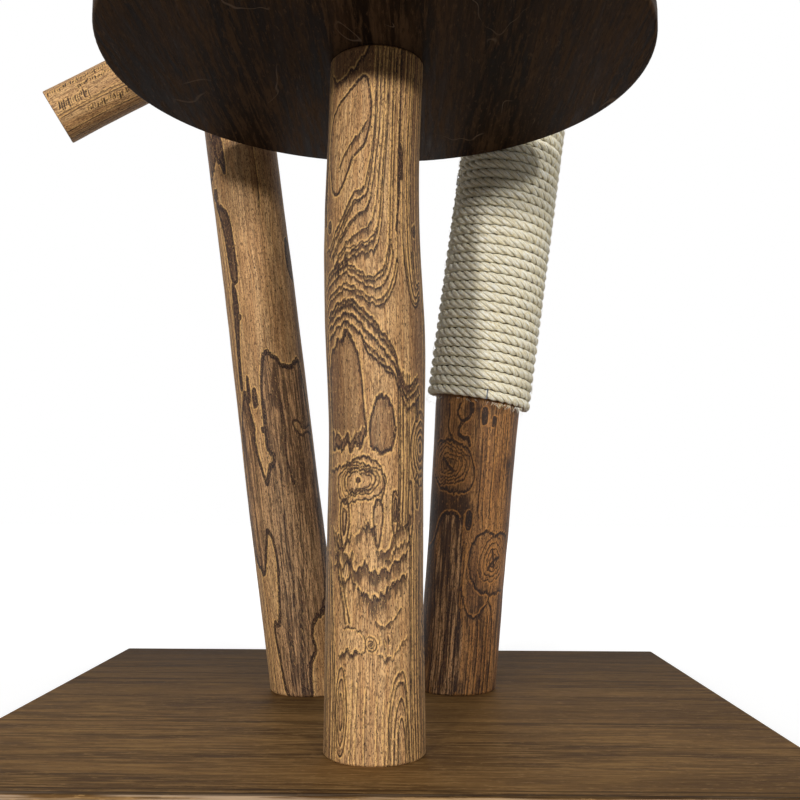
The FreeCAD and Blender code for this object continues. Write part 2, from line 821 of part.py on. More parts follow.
SUBPARTS = [
    cut("base_board", base_board(), foot_bores, foot_side_holes),
    cut("front_post", front_blank, foot_bores, foot_side_holes, lower_head_holes),
    cut("left_post", left_blank, foot_bores, foot_side_holes, upper_head_holes, socket_cutter(), branch_bore),
    cut("right_post", right_log(), foot_bores, foot_side_holes, upper_head_holes, staple_slots),
    cut("side_branch", side_branch_blank(), branch_bore),
    cut("lower_platform", lower_blank, lower_head_holes),
    cut("upper_platform", upper_blank, upper_head_holes),
    rope_lower_length,
    rope_upper_length,
    rope_staples,
    base_coach_screws,
    base_washers,
    base_side_screws,
    lower_platform_screws,
    upper_platform_screws,
    branch_coach_screw,
    branch_washer,
]

doc.recompute()
for item in doc.Objects:
    if "Invalid" in item.State or "Error" in item.State:
        raise RuntimeError(f"{item.Label} failed: {item.State}")
for part in SUBPARTS:
    if part.Shape.isNull() or not part.Shape.isValid():
        raise RuntimeError(f"{part.Label} has no valid shape")

os.makedirs("parts", exist_ok=True)
for part in SUBPARTS:
    part.Shape.exportStep(f"parts/{part.Label}.step")
    print(f"{part.Label}: {len(part.Shape.Solids)} solid(s), {part.Shape.Volume / 1000:.1f} cm3")
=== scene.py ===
"""Cat scratching post: natural logs on a dark board, a round platform, a branch and a wound rope.

Metres in the scene. Most shapes are worked out in millimetres above the board's top face and scaled
once. The row frame has its origin at the middle of the board's underside, +X right, +Y to the back.
"""

import math

import bpy
import numpy as np
from mathutils import Matrix, Vector


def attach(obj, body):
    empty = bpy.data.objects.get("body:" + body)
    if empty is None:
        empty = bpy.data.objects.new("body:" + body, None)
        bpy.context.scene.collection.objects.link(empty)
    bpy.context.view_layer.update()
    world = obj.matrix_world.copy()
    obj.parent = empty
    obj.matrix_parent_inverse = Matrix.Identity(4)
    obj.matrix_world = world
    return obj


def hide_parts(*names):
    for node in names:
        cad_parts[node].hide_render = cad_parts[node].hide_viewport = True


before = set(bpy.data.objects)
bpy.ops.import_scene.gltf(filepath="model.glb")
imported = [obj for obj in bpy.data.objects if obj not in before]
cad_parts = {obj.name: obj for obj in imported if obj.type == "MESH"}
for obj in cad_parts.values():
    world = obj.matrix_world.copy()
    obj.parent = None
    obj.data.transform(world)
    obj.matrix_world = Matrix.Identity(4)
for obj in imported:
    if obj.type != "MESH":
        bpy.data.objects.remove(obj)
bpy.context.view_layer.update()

MM = 0.001
BOARD_TOP = 25.0

# ---- Sizes of the solids that the pieces here follow (mm) --------------------------------------

FRONT_LOG = {
    "foot": (-0.6, -195.3),
    "height": 564.0,
    "lean": 0.0,
    "stations": [(0, 0, 40.7), (0.28, -0.8, 39.3), (0.45, -0.2, 39.4), (0.58, -1.6, 41.4),
                 (0.76, -5.2, 40.0), (0.92, -3.4, 39.2), (1, -2.0, 39.4)],
}
LEFT_LOG = {
    "foot": (-78.0, 43.7),
    "height": 850.0,
    "lean": -8.18,
    "stations": [(0, 0, 39.8), (0.22, -0.9, 39.0), (0.45, 0.7, 38.8), (0.72, 0.5, 38.6),
                 (1, 0, 38.2)],
}
RIGHT_FOOT = (75.7, 56.5)
LOWER_LEAN = math.radians(4.6)
UPPER_LEAN = math.radians(7.8)
BEND_HEIGHT = 296.4
HEAD_HEIGHT = 850.0
RIGHT_STATIONS = [(0, 0, 41.6), (0.40, 0.6, 42.6), (0.80, 0.4, 44.4)]
RIGHT_MEAN_RADIUS = 43.0
WOUND_RADIUS = 46.0
HEAD_RADIUS = 45.5
BEND_LENGTH = 40.0  # below the bend, over which the rings of points tilt
ARRIS = 1.5

ROPE_RADIUS = 51.1
ROPE_PITCH = 10.25
ROPE_START = 7.8
ROPE_FIRST_ANGLE = math.radians(5.0)
ROPE_JOINT = 23.75
ROPE_TURNS = 47.25
ROPE_TOP_CLEARANCE = 52.0
BEND_X = RIGHT_FOOT[0] + math.tan(LOWER_LEAN) * BEND_HEIGHT

BRANCH_ROOT_HEIGHT = 720.0
BRANCH_REACH = (20.6, 210.0)
BRANCH_RADIUS = 30.0
BRANCH_DROP = math.radians(31.8)
BRANCH_FORWARD = math.radians(7.6)
BORE_RADIUS = 13.0
BORE_FLOOR = 20.6
BORE_TAPER = 0.05  # how far inside the rim the wall's foot lies
BORE_EDGE = 0.7  # how near the bore's rim a vertex is moved onto it
BORE_WALL = 2.1  # how near the rim a sunk vertex is moved to the wall's foot


# ---- Mesh tools ------------------------------------------------------------------------------


def make_mesh(name, points, faces):
    """A smooth-shaded object from points in mm above the board's top and a list of faces."""
    data = bpy.data.meshes.new(name)
    points = np.asarray(points, float) * MM
    points[:, 2] += BOARD_TOP * MM
    data.from_pydata(points.tolist(), [], [tuple(int(i) for i in face) for face in faces])
    data.validate()
    data.polygons.foreach_set("use_smooth", np.ones(len(data.polygons), bool))
    data.update()
    obj = bpy.data.objects.new(name, data)
    bpy.context.scene.collection.objects.link(obj)
    return obj


def set_numbers(obj, name, values):
    """Store one number per vertex."""
    attribute = obj.data.attributes.new(name, "FLOAT", "POINT")
    attribute.data.foreach_set("value", np.asarray(values, np.float32).ravel())


def set_vectors(obj, name, values):
    attribute = obj.data.attributes.new(name, "FLOAT_VECTOR", "POINT")
    attribute.data.foreach_set("vector", np.asarray(values, np.float32).ravel())


def place_arrays(obj):
    """The vertices of a piece in mm above the board's top."""
    points = np.empty(len(obj.data.vertices) * 3)
    obj.data.vertices.foreach_get("co", points)
    points = points.reshape(-1, 3) / MM
    points[:, 2] -= BOARD_TOP
    return points


def tube_faces(rows, columns):
    """Quads between successive rings of points, and one face over each end."""
    i = np.arange(rows - 1)[:, None] * columns
    j = np.arange(columns)[None, :]
    k = (j + 1) % columns
    quads = np.stack([i + j, i + k, i + columns + k, i + columns + j], axis=-1).reshape(-1, 4)
    faces = quads.tolist()
    faces.append(list(range(columns))[::-1])
    faces.append([(rows - 1) * columns + c for c in range(columns)])
    return faces


def natural_spline(x, y, at):
    """A natural cubic spline through the points, read at other places."""
    x, y, at = np.asarray(x, float), np.asarray(y, float), np.asarray(at, float)
    n = len(x)
    h = np.diff(x)
    system = np.eye(n)
    right = np.zeros(n)
    for i in range(1, n - 1):
        system[i, i - 1:i + 2] = h[i - 1], 2 * (h[i - 1] + h[i]), h[i]
        right[i] = 6 * ((y[i + 1] - y[i]) / h[i] - (y[i] - y[i - 1]) / h[i - 1])
    bend = np.linalg.solve(system, right)
    i = np.clip(np.searchsorted(x, at) - 1, 0, n - 2)
    a, b = x[i + 1] - at, at - x[i]
    return (bend[i] * a ** 3 + bend[i + 1] * b ** 3) / (6 * h[i]) + (
        (y[i] / h[i] - bend[i] * h[i] / 6) * a + (y[i + 1] / h[i] - bend[i + 1] * h[i] / 6) * b)


NOISE_SIZE = 128
NOISE = np.random.default_rng(7).uniform(-1, 1, (NOISE_SIZE, NOISE_SIZE))
HAND_WORK = 0.8  # mm that the drawknife has taken off a log at most


def smooth_noise(x, y):
    """Noise from -1 to 1 that is smooth over one step of x and y."""
    i, j = np.floor(x).astype(int), np.floor(y).astype(int)
    a, b = x - i, y - j
    a, b = a * a * (3 - 2 * a), b * b * (3 - 2 * b)
    corner = [NOISE[(i + p) % NOISE_SIZE, (j + q) % NOISE_SIZE] for p in (0, 1) for q in (0, 1)]
    return (corner[0] * (1 - a) * (1 - b) + corner[1] * (1 - a) * b
            + corner[2] * a * (1 - b) + corner[3] * a * b)


def hand_worked(radius, around, z):
    """The radii of a log that a drawknife has left slightly uneven, at or under the full size."""
    a, b = radius * np.cos(around), radius * np.sin(around)
    wave = (smooth_noise(a / 15 + 3, z / 55) + smooth_noise(b / 15 + 50, z / 55)
            + 0.45 * smooth_noise(a / 6 + 20, z / 20) + 0.45 * smooth_noise(b / 6 + 80, z / 20))
    return radius - HAND_WORK / 2 * (1 + np.clip(wave / 1.6, -1, 1))


# ---- Node tools ------------------------------------------------------------------------------


class Nodes:
    """The node tree of a material or world, with short ways to add and join nodes."""

    def __init__(self, owner):
        owner.use_nodes = True
        self.owner, self.tree = owner, owner.node_tree
        self.tree.nodes.clear()

    def add(self, kind, inputs=(), **settings):
        """A node with its settings. Its inputs are numbers or sockets, listed or by name."""
        node = self.tree.nodes.new("ShaderNode" + kind)
        for name, value in settings.items():
            setattr(node, name, value)
        for key, value in inputs.items() if isinstance(inputs, dict) else enumerate(inputs):
            self.put(node.inputs[key], value)
        return node

    def put(self, socket, value):
        if isinstance(value, bpy.types.NodeSocket):
            self.tree.links.new(value, socket)
        elif value is not None:
            socket.default_value = value

    def attribute(self, name, vector=False):
        return self.add("Attribute", attribute_name=name).outputs["Vector" if vector else "Fac"]

    def object_place(self):
        return self.add("TexCoord").outputs["Object"]

    def math(self, operation, a, b=None, clamp=False):
        return self.add("Math", (a, b), operation=operation, use_clamp=clamp).outputs[0]

    def scaled(self, vector, scale):
        return self.add("VectorMath", (vector, scale), operation="MULTIPLY").outputs[0]

    def parts(self, vector):
        return self.add("SeparateXYZ", (vector,)).outputs

    def noise(self, vector, scale, detail=3.0, roughness=0.55, distortion=0.0):
        node = self.add("TexNoise", {"Vector": vector, "Scale": scale, "Detail": detail,
                                     "Roughness": roughness, "Distortion": distortion})
        return node.outputs["Fac"]

    def spread(self, value, low, high, to_low=0.0, to_high=1.0, smooth=True):
        """A value between low and high, drawn out to another range and held at its ends."""
        return self.add("MapRange", (value, low, high, to_low, to_high),
                        interpolation_type="SMOOTHSTEP" if smooth else "LINEAR").outputs["Result"]

    def mix(self, share, a, b):
        """Two colours mixed; a share of 1 gives b."""
        node = self.add("Mix", {"Factor": share}, data_type="RGBA")
        for socket, value in zip([s for s in node.inputs if s.type == "RGBA"], (a, b)):
            self.put(socket, value)
        return [s for s in node.outputs if s.type == "RGBA"][0]

    def over(self, base, colour, share, amount):
        """A colour laid over the base where the share is above 0, at most by the amount."""
        return self.mix(self.math("MULTIPLY", share, amount), base, colour)

    def bump(self, height, distance, strength):
        return self.add("Bump", {"Strength": strength, "Distance": distance,
                                 "Height": height}).outputs[0]

    def seen(self):
        """1 for rays that carry the background to the camera, also by gloss or glass, else 0."""
        path = self.add("LightPath").outputs
        straight_or_glossy = self.math("MAXIMUM", path["Is Camera Ray"], path["Is Glossy Ray"])
        return self.math("MAXIMUM", straight_or_glossy, path["Is Transmission Ray"])

    def finish(self, colour, roughness, normal, **numbers):
        """The surface, with its other numbers set on the shader by name."""
        shader = self.add("BsdfPrincipled", {"Base Color": colour, "Roughness": roughness,
                                             "Normal": normal})
        for name, value in numbers.items():
            shader.inputs[name.replace("_", " ")].default_value = value
        self.add("OutputMaterial", {"Surface": shader.outputs[0]})
        return self.owner


def colour(red, green, blue):
    """A colour as it is seen (0 to 255) in the linear numbers that a shader takes."""
    def linear(value):
        value = value / 255
        return value / 12.92 if value <= 0.04045 else ((value + 0.055) / 1.055) ** 2.4
    return (linear(red), linear(green), linear(blue), 1.0)


# ---- Logs ------------------------------------------------------------------------------------


def wrap(degrees):
    return (np.asarray(degrees) + 180.0) % 360.0 - 180.0


def level_rows(height, step):
    """Heights of a log's rings of points, with its bevels at foot and head."""
    count = int(round((height - 2 * ARRIS) / step))
    return np.concatenate([[0.0], np.linspace(ARRIS, height - ARRIS, count + 1), [height]])


def log_columns(radius, step):
    """Angles from the front, in degrees, positive to the right."""
    count = int(round(math.tau * radius / step))
    return wrap(np.arange(count) * 360.0 / count - 180.0)


def log_stations(log):
    """Heights, sideways drifts and radii of a straight log's stations."""
    shares, drifts, radii = zip(*log["stations"])
    return [ARRIS + share * (log["height"] - 2 * ARRIS) for share in shares], drifts, radii


def log_axis(log, z):
    """The x of a straight log's middle at these heights."""
    stations, drifts, _ = log_stations(log)
    middle = natural_spline(stations, drifts, np.clip(z, ARRIS, log["height"] - ARRIS))
    return log["foot"][0] + middle + math.tan(math.radians(log["lean"])) * np.asarray(z)


def ringed_log(name, middle, foot_y, rows, radius, lean, mean_radius, step):
    """A log from rings of points, each about its middle and tilted by its lean."""
    angles = log_columns(mean_radius, step)
    around = np.radians(angles)[None, :]
    radius = hand_worked(radius[:, None], around, rows[:, None])
    out = radius * np.sin(around)
    x = middle[:, None] + out * np.cos(lean)[:, None]
    y = foot_y - radius * np.cos(around)
    z = rows[:, None] - out * np.sin(lean)[:, None]
    points = np.stack([x, y, z], axis=-1).reshape(-1, 3)
    return make_mesh(name, points, tube_faces(len(rows), len(angles)))


def straight_log(name, log, step):
    """A log with level rings."""
    stations, _, radii = log_stations(log)
    rows = level_rows(log["height"], step)
    radius = natural_spline(stations, radii, np.clip(rows, ARRIS, log["height"] - ARRIS))
    radius[[0, -1]] -= ARRIS
    return ringed_log(name, log_axis(log, rows), log["foot"][1], rows, radius, np.zeros_like(rows),
                      np.mean(radii), step)


def right_stations():
    """Heights, sideways drifts and radii of the right log's stations, up to its bend."""
    shares, drifts, radii = zip(*RIGHT_STATIONS)
    heights = [ARRIS + share * (BEND_HEIGHT - ARRIS) for share in shares] + [BEND_HEIGHT]
    return heights, drifts + (0.0,), radii + (WOUND_RADIUS,)


def right_axis(z):
    """The x of the right log's middle at these heights."""
    z = np.asarray(z, float)
    stations, drifts, _ = right_stations()
    drift = natural_spline(stations, drifts, np.clip(z, ARRIS, BEND_HEIGHT))
    lower = RIGHT_FOOT[0] + drift + math.tan(LOWER_LEAN) * z
    return np.where(z < BEND_HEIGHT, lower, BEND_X + math.tan(UPPER_LEAN) * (z - BEND_HEIGHT))


def right_log(name, step):
    """The right log: level rings to its bend, tilted ones on its wound part, and a short head."""
    foot = np.concatenate([[0.0], np.linspace(ARRIS, BEND_HEIGHT, int(BEND_HEIGHT / step))])
    wound_length = (HEAD_HEIGHT - BEND_HEIGHT) / math.cos(UPPER_LEAN) - ROPE_TOP_CLEARANCE
    wound = BEND_HEIGHT + np.linspace(0, 1, 60)[1:] * wound_length * math.cos(UPPER_LEAN)
    head = np.linspace(wound[-1], HEAD_HEIGHT - ARRIS, 40)[1:]
    share = (head - wound[-1]) / (head[-1] - wound[-1])
    stations, _, radii = right_stations()
    foot_radius = natural_spline(stations, radii, np.clip(foot, ARRIS, BEND_HEIGHT))
    foot_radius[0] -= ARRIS
    near_bend = np.clip(foot - BEND_HEIGHT + BEND_LENGTH, 0, None) / BEND_LENGTH
    rows = np.concatenate([foot, wound, head, [HEAD_HEIGHT]])
    radius = np.concatenate([foot_radius, np.full(len(wound), WOUND_RADIUS),
                             WOUND_RADIUS + share * (HEAD_RADIUS - WOUND_RADIUS),
                             [HEAD_RADIUS - ARRIS]])
    lean = np.concatenate([UPPER_LEAN * near_bend ** 2, np.full(len(wound), UPPER_LEAN),
                           UPPER_LEAN * (1 - share), [0.0]])
    return ringed_log(name, right_axis(rows), RIGHT_FOOT[1], rows, radius, lean,
                      RIGHT_MEAN_RADIUS, step)


def branch_frame():
    """The branch's root on the left log's axis, and its direction, side and up vectors."""
    slope = math.tan(math.radians(LEFT_LOG["lean"]))
    root = np.array([LEFT_LOG["foot"][0] + slope * BRANCH_ROOT_HEIGHT, LEFT_LOG["foot"][1],
                     BRANCH_ROOT_HEIGHT])
    direction = np.array([-math.cos(BRANCH_DROP) * math.cos(BRANCH_FORWARD),
                          -math.cos(BRANCH_DROP) * math.sin(BRANCH_FORWARD),
                          -math.sin(BRANCH_DROP)])
    side = np.cross([0, 0, 1.0], direction)
    side /= np.linalg.norm(side)
    return root, direction, side, np.cross(direction, side)


def sink_bore(log):
    """The flat-bottomed bore for the head of the branch's screw, on the left log's far side."""
    root, direction, side, up = branch_frame()
    points = place_arrays(log) - root
    along, beside, over = -points @ direction, points @ side, points @ up
    out = np.hypot(beside, over)
    rim = (along > 0) & (out >= BORE_RADIUS - BORE_EDGE) & (out < BORE_RADIUS + BORE_EDGE)
    floor = (along > 0) & (out < BORE_RADIUS - BORE_EDGE)
    wall = floor & (out > BORE_RADIUS - BORE_WALL)
    onto = np.where(rim, BORE_RADIUS, np.where(wall, BORE_RADIUS - BORE_TAPER, out))
    onto = onto / np.maximum(out, 1e-6)
    along = np.where(floor, BORE_FLOOR, along)
    moved = (root - along[:, None] * direction + (beside * onto)[:, None] * side
             + (over * onto)[:, None] * up)
    moved[:, 2] += BOARD_TOP
    log.data.vertices.foreach_set("co", (moved * MM).ravel())
    sunk = set(np.flatnonzero(floor).tolist())
    for face in log.data.polygons:
        if not sunk.isdisjoint(face.vertices):
            face.use_smooth = False
    log.data.update()


def branch(name, step):
    """The branch, whose sawn end is a grid of rings, so that it can carry growth rings."""
    root, direction, side, up = branch_frame()
    start, end = BRANCH_REACH
    middle_rows = np.linspace(start + 1, end - 1, int((end - start) / step))
    rows = np.concatenate([[start], middle_rows, [end]])
    radius = np.full(len(rows), BRANCH_RADIUS)
    radius[[0, -1]] -= 1.0
    count = int(math.tau * BRANCH_RADIUS / step)
    around = np.arange(count) * math.tau / count
    ring = np.cos(around)[:, None] * up + np.sin(around)[:, None] * side
    uneven = hand_worked(radius[:, None], around[None, :], rows[:, None])
    points = (root + rows[:, None, None] * direction + uneven[:, :, None] * ring).reshape(-1, 3)
    faces = tube_faces(len(rows), count)[:-1]
    inner = np.linspace(1.0, 0, 34)[1:-1]
    cap = root + end * direction + (inner[:, None] * uneven[-1])[:, :, None] * ring
    points = np.concatenate([points, cap.reshape(-1, 3), [root + end * direction]])
    first = (len(rows) - 1) * count
    grid = tube_faces(len(inner) + 1, count)[:-2]
    faces += [[first + i for i in face] for face in grid]
    last = first + len(inner) * count
    faces += [[last + c, last + (c + 1) % count, len(points) - 1] for c in range(count)]
    return make_mesh(name, points, faces)


# ---- Rope ------------------------------------------------------------------------------------


def wound_points(local):
    """Points about the wound part's own axis, moved to the leaning log."""
    local = np.asarray(local, float)
    x = BEND_X + local[..., 0] * math.cos(UPPER_LEAN) + local[..., 2] * math.sin(UPPER_LEAN)
    z = BEND_HEIGHT - local[..., 0] * math.sin(UPPER_LEAN) + local[..., 2] * math.cos(UPPER_LEAN)
    return np.stack([x, RIGHT_FOOT[1] + local[..., 1], z], axis=-1)


STRAND_RADIUS = 2.78
STRAND_OFFSET = 2.4
STRAND_LAY = 30.0
STRAND_SIDES = 10
STRAND_STEP = 1.7
HAIRS, TUFT_HAIRS, EDGE_HAIRS = 520, 50, 40
HAIR_RADIUS = 0.16
HAIR_RINGS = 6
HAIR_START = 4.6  # above the rope's middle line
HAIR_BEND_RADIUS = 56.0  # about the log, for the length of a fibre along its turn
WOBBLE_STEP = 23.0  # of rope between one change of its lay and the next
WOBBLE = 0.16  # radians
STRAND_UNEVENNESS = 0.025  # share of the strand's radius
STRAND_SHIFT = 37.0  # so that the strands don't share their yarns


def rope(name, first, last, seed):
    """A length of three-strand rope: every strand is a tube that twists about the rope's middle."""
    per_turn = math.tau * math.hypot(ROPE_RADIUS, ROPE_PITCH / math.tau)
    length = (last - first) * per_turn
    count = int(length / STRAND_STEP)
    s = np.linspace(-2.0, length + 2.0, count)
    turns = first + s / per_turn
    angle = ROPE_FIRST_ANGLE - math.tau * turns
    out = np.stack([np.cos(angle), np.sin(angle), np.zeros(count)], axis=-1)
    centre = out * ROPE_RADIUS + np.array([0, 0, 1.0]) * (ROPE_START + ROPE_PITCH * turns)[:, None]
    climb = ROPE_PITCH / math.tau
    tangent = np.stack([ROPE_RADIUS * np.sin(angle), -ROPE_RADIUS * np.cos(angle),
                        np.full(count, climb)], axis=-1)
    tangent /= np.linalg.norm(tangent, axis=1)[:, None]
    side = np.cross(tangent, out)
    points, faces, along = [], [], []
    rng = np.random.default_rng(seed)
    places = np.arange(-20, length + 40, WOBBLE_STEP)
    wobble = np.interp(s, places, rng.normal(0, WOBBLE, len(places)))
    ring = np.arange(STRAND_SIDES) * math.tau / STRAND_SIDES
    slope = math.tau * STRAND_OFFSET / STRAND_LAY
    for strand in range(3):
        twist = math.tau * s / STRAND_LAY + strand * math.tau / 3 + wobble
        lift = np.cos(twist)[:, None] * out + np.sin(twist)[:, None] * side
        strand_centre = centre + STRAND_OFFSET * lift
        strand_tangent = tangent + slope * (np.cos(twist)[:, None] * side
                                            - np.sin(twist)[:, None] * out)
        strand_tangent /= np.linalg.norm(strand_tangent, axis=1)[:, None]
        strand_side = np.cross(strand_tangent, lift)
        radius = STRAND_RADIUS * (1 + np.interp(s, np.linspace(s[0], s[-1], count // 6),
                                                rng.normal(0, STRAND_UNEVENNESS, count // 6)))
        body = (strand_centre[:, None, :]
                + radius[:, None, None] * (np.cos(ring)[None, :, None] * lift[:, None, :]
                                           + np.sin(ring)[None, :, None] * strand_side[:, None, :]))
        base = sum(len(p) for p in points)
        points.append(body.reshape(-1, 3))
        faces += [[base + i for i in face] for face in tube_faces(count, STRAND_SIDES)]
        # The yarns lie across the strand, twisted the other way.
        outward = STRAND_RADIUS * np.cos(ring)[None, :]
        sideways = STRAND_RADIUS * np.sin(ring)[None, :] + strand * STRAND_SHIFT
        place = np.stack(np.broadcast_arrays(s[:, None], outward, sideways), axis=-1)
        along.append(place.reshape(-1, 3))
    add_hairs(points, faces, along, rng, first, last)
    points = wound_points(np.concatenate(points))
    obj = make_mesh(name, points, faces)
    set_vectors(obj, "strand_place", np.concatenate(along))
    return obj


def add_hairs(points, faces, along, rng, first, last):
    """Stray fibres: fine curved threads that start on the winding, and a tuft at its lower edge."""
    low, high = (ROPE_START + ROPE_PITCH * turn for turn in (first, last))
    starts = [(rng.uniform(-180, 180), rng.uniform(low, high), rng.uniform(5, 15),
               rng.normal(0, 0.35), 0.5) for _ in range(HAIRS)]
    if first == 0:
        starts += [(rng.uniform(12, 52), 2.6, rng.uniform(3, 8), rng.uniform(-2.5, -0.8), 0.25)
                   for _ in range(TUFT_HAIRS)]
        starts += [(rng.uniform(-180, 180), 2.9, rng.uniform(2, 4), rng.uniform(-0.9, -0.2), 0.05)
                   for _ in range(EDGE_HAIRS)]
    share = np.linspace(0, 1, HAIR_RINGS)
    for angle, height, reach, slope, spring in starts:
        way = rng.choice([-1.0, 1.0])
        across = reach * way * share / math.hypot(1, slope)
        run_out = across + rng.normal(0, 0.8) * share ** 2
        turn = math.radians(angle) + run_out / HAIR_BEND_RADIUS
        z = height + abs(across) * slope + rng.normal(0, 1.2) * share ** 2
        out = ROPE_RADIUS + HAIR_START + spring * rng.uniform(0, 4.5) * share * (1.5 - share)
        middle = np.stack([out * np.sin(turn), -out * np.cos(turn), z], axis=-1)
        run = np.gradient(middle, axis=0)
        run /= np.linalg.norm(run, axis=1)[:, None]
        outward = np.stack([np.sin(turn), -np.cos(turn), 0 * turn], axis=-1)
        beside = np.cross(run, outward)
        thick = HAIR_RADIUS * (1 - 0.6 * share)[:, None]
        ring = [middle + thick * (math.cos(a) * outward + math.sin(a) * beside)
                for a in (0, math.tau / 3, 2 * math.tau / 3)]
        base = sum(len(p) for p in points)
        points.append(np.stack(ring, axis=1).reshape(-1, 3))
        faces += [[base + i for i in face] for face in tube_faces(HAIR_RINGS, 3)]
        along.append(np.tile([angle * 3.0, 2.6, height], (3 * HAIR_RINGS, 1)))


# ---- Wood figure ------------------------------------------------------------------------------
# A log's figure is drawn on its unrolled surface, as points of (angle, height). Angles are in
# degrees from the front, positive to the right, and heights in mm above the board's top.

FAR = 9.0  # mm, what a vertex reads with no line or outline near it
FRINGE_FAR = 30.0  # what it reads with no fringe near it
FRINGE_END = 8.0  # what it reads where a fringe ends
CHUNK = 12  # steps of a line whose distances are worked out together


def between(first, last, count):
    """Lines from one line to another with as many points, spaced a little unevenly."""
    first, last = np.array(first, float), np.array(last, float)
    share = np.linspace(0, 1, count)
    share[1:-1] += 0.4 * np.sin(5.1 * np.arange(1, count - 1)) / (count - 1)
    return [first + (last - first) * s for s in share]


def ring_line(angle, height, half_width, half_height, tip=0.0, lean=0.0):
    """A closed oval about a point. A tip above 0 draws out its lower end."""
    a = np.linspace(0, math.tau, 33)
    down = np.clip(-np.cos(a), 0, 1)
    z = half_height * np.cos(a) * (1 + tip * down)
    across = half_width * np.sin(a) * (1 - 0.4 * tip * down) + lean * z
    return np.stack([angle + across, height + z], axis=-1)


def turned_over(line, height):
    """The same line on the log's other side and upside down."""
    line = np.array(line, float)
    return np.stack([line[:, 0] + 180.0, height - line[:, 1]], axis=-1)


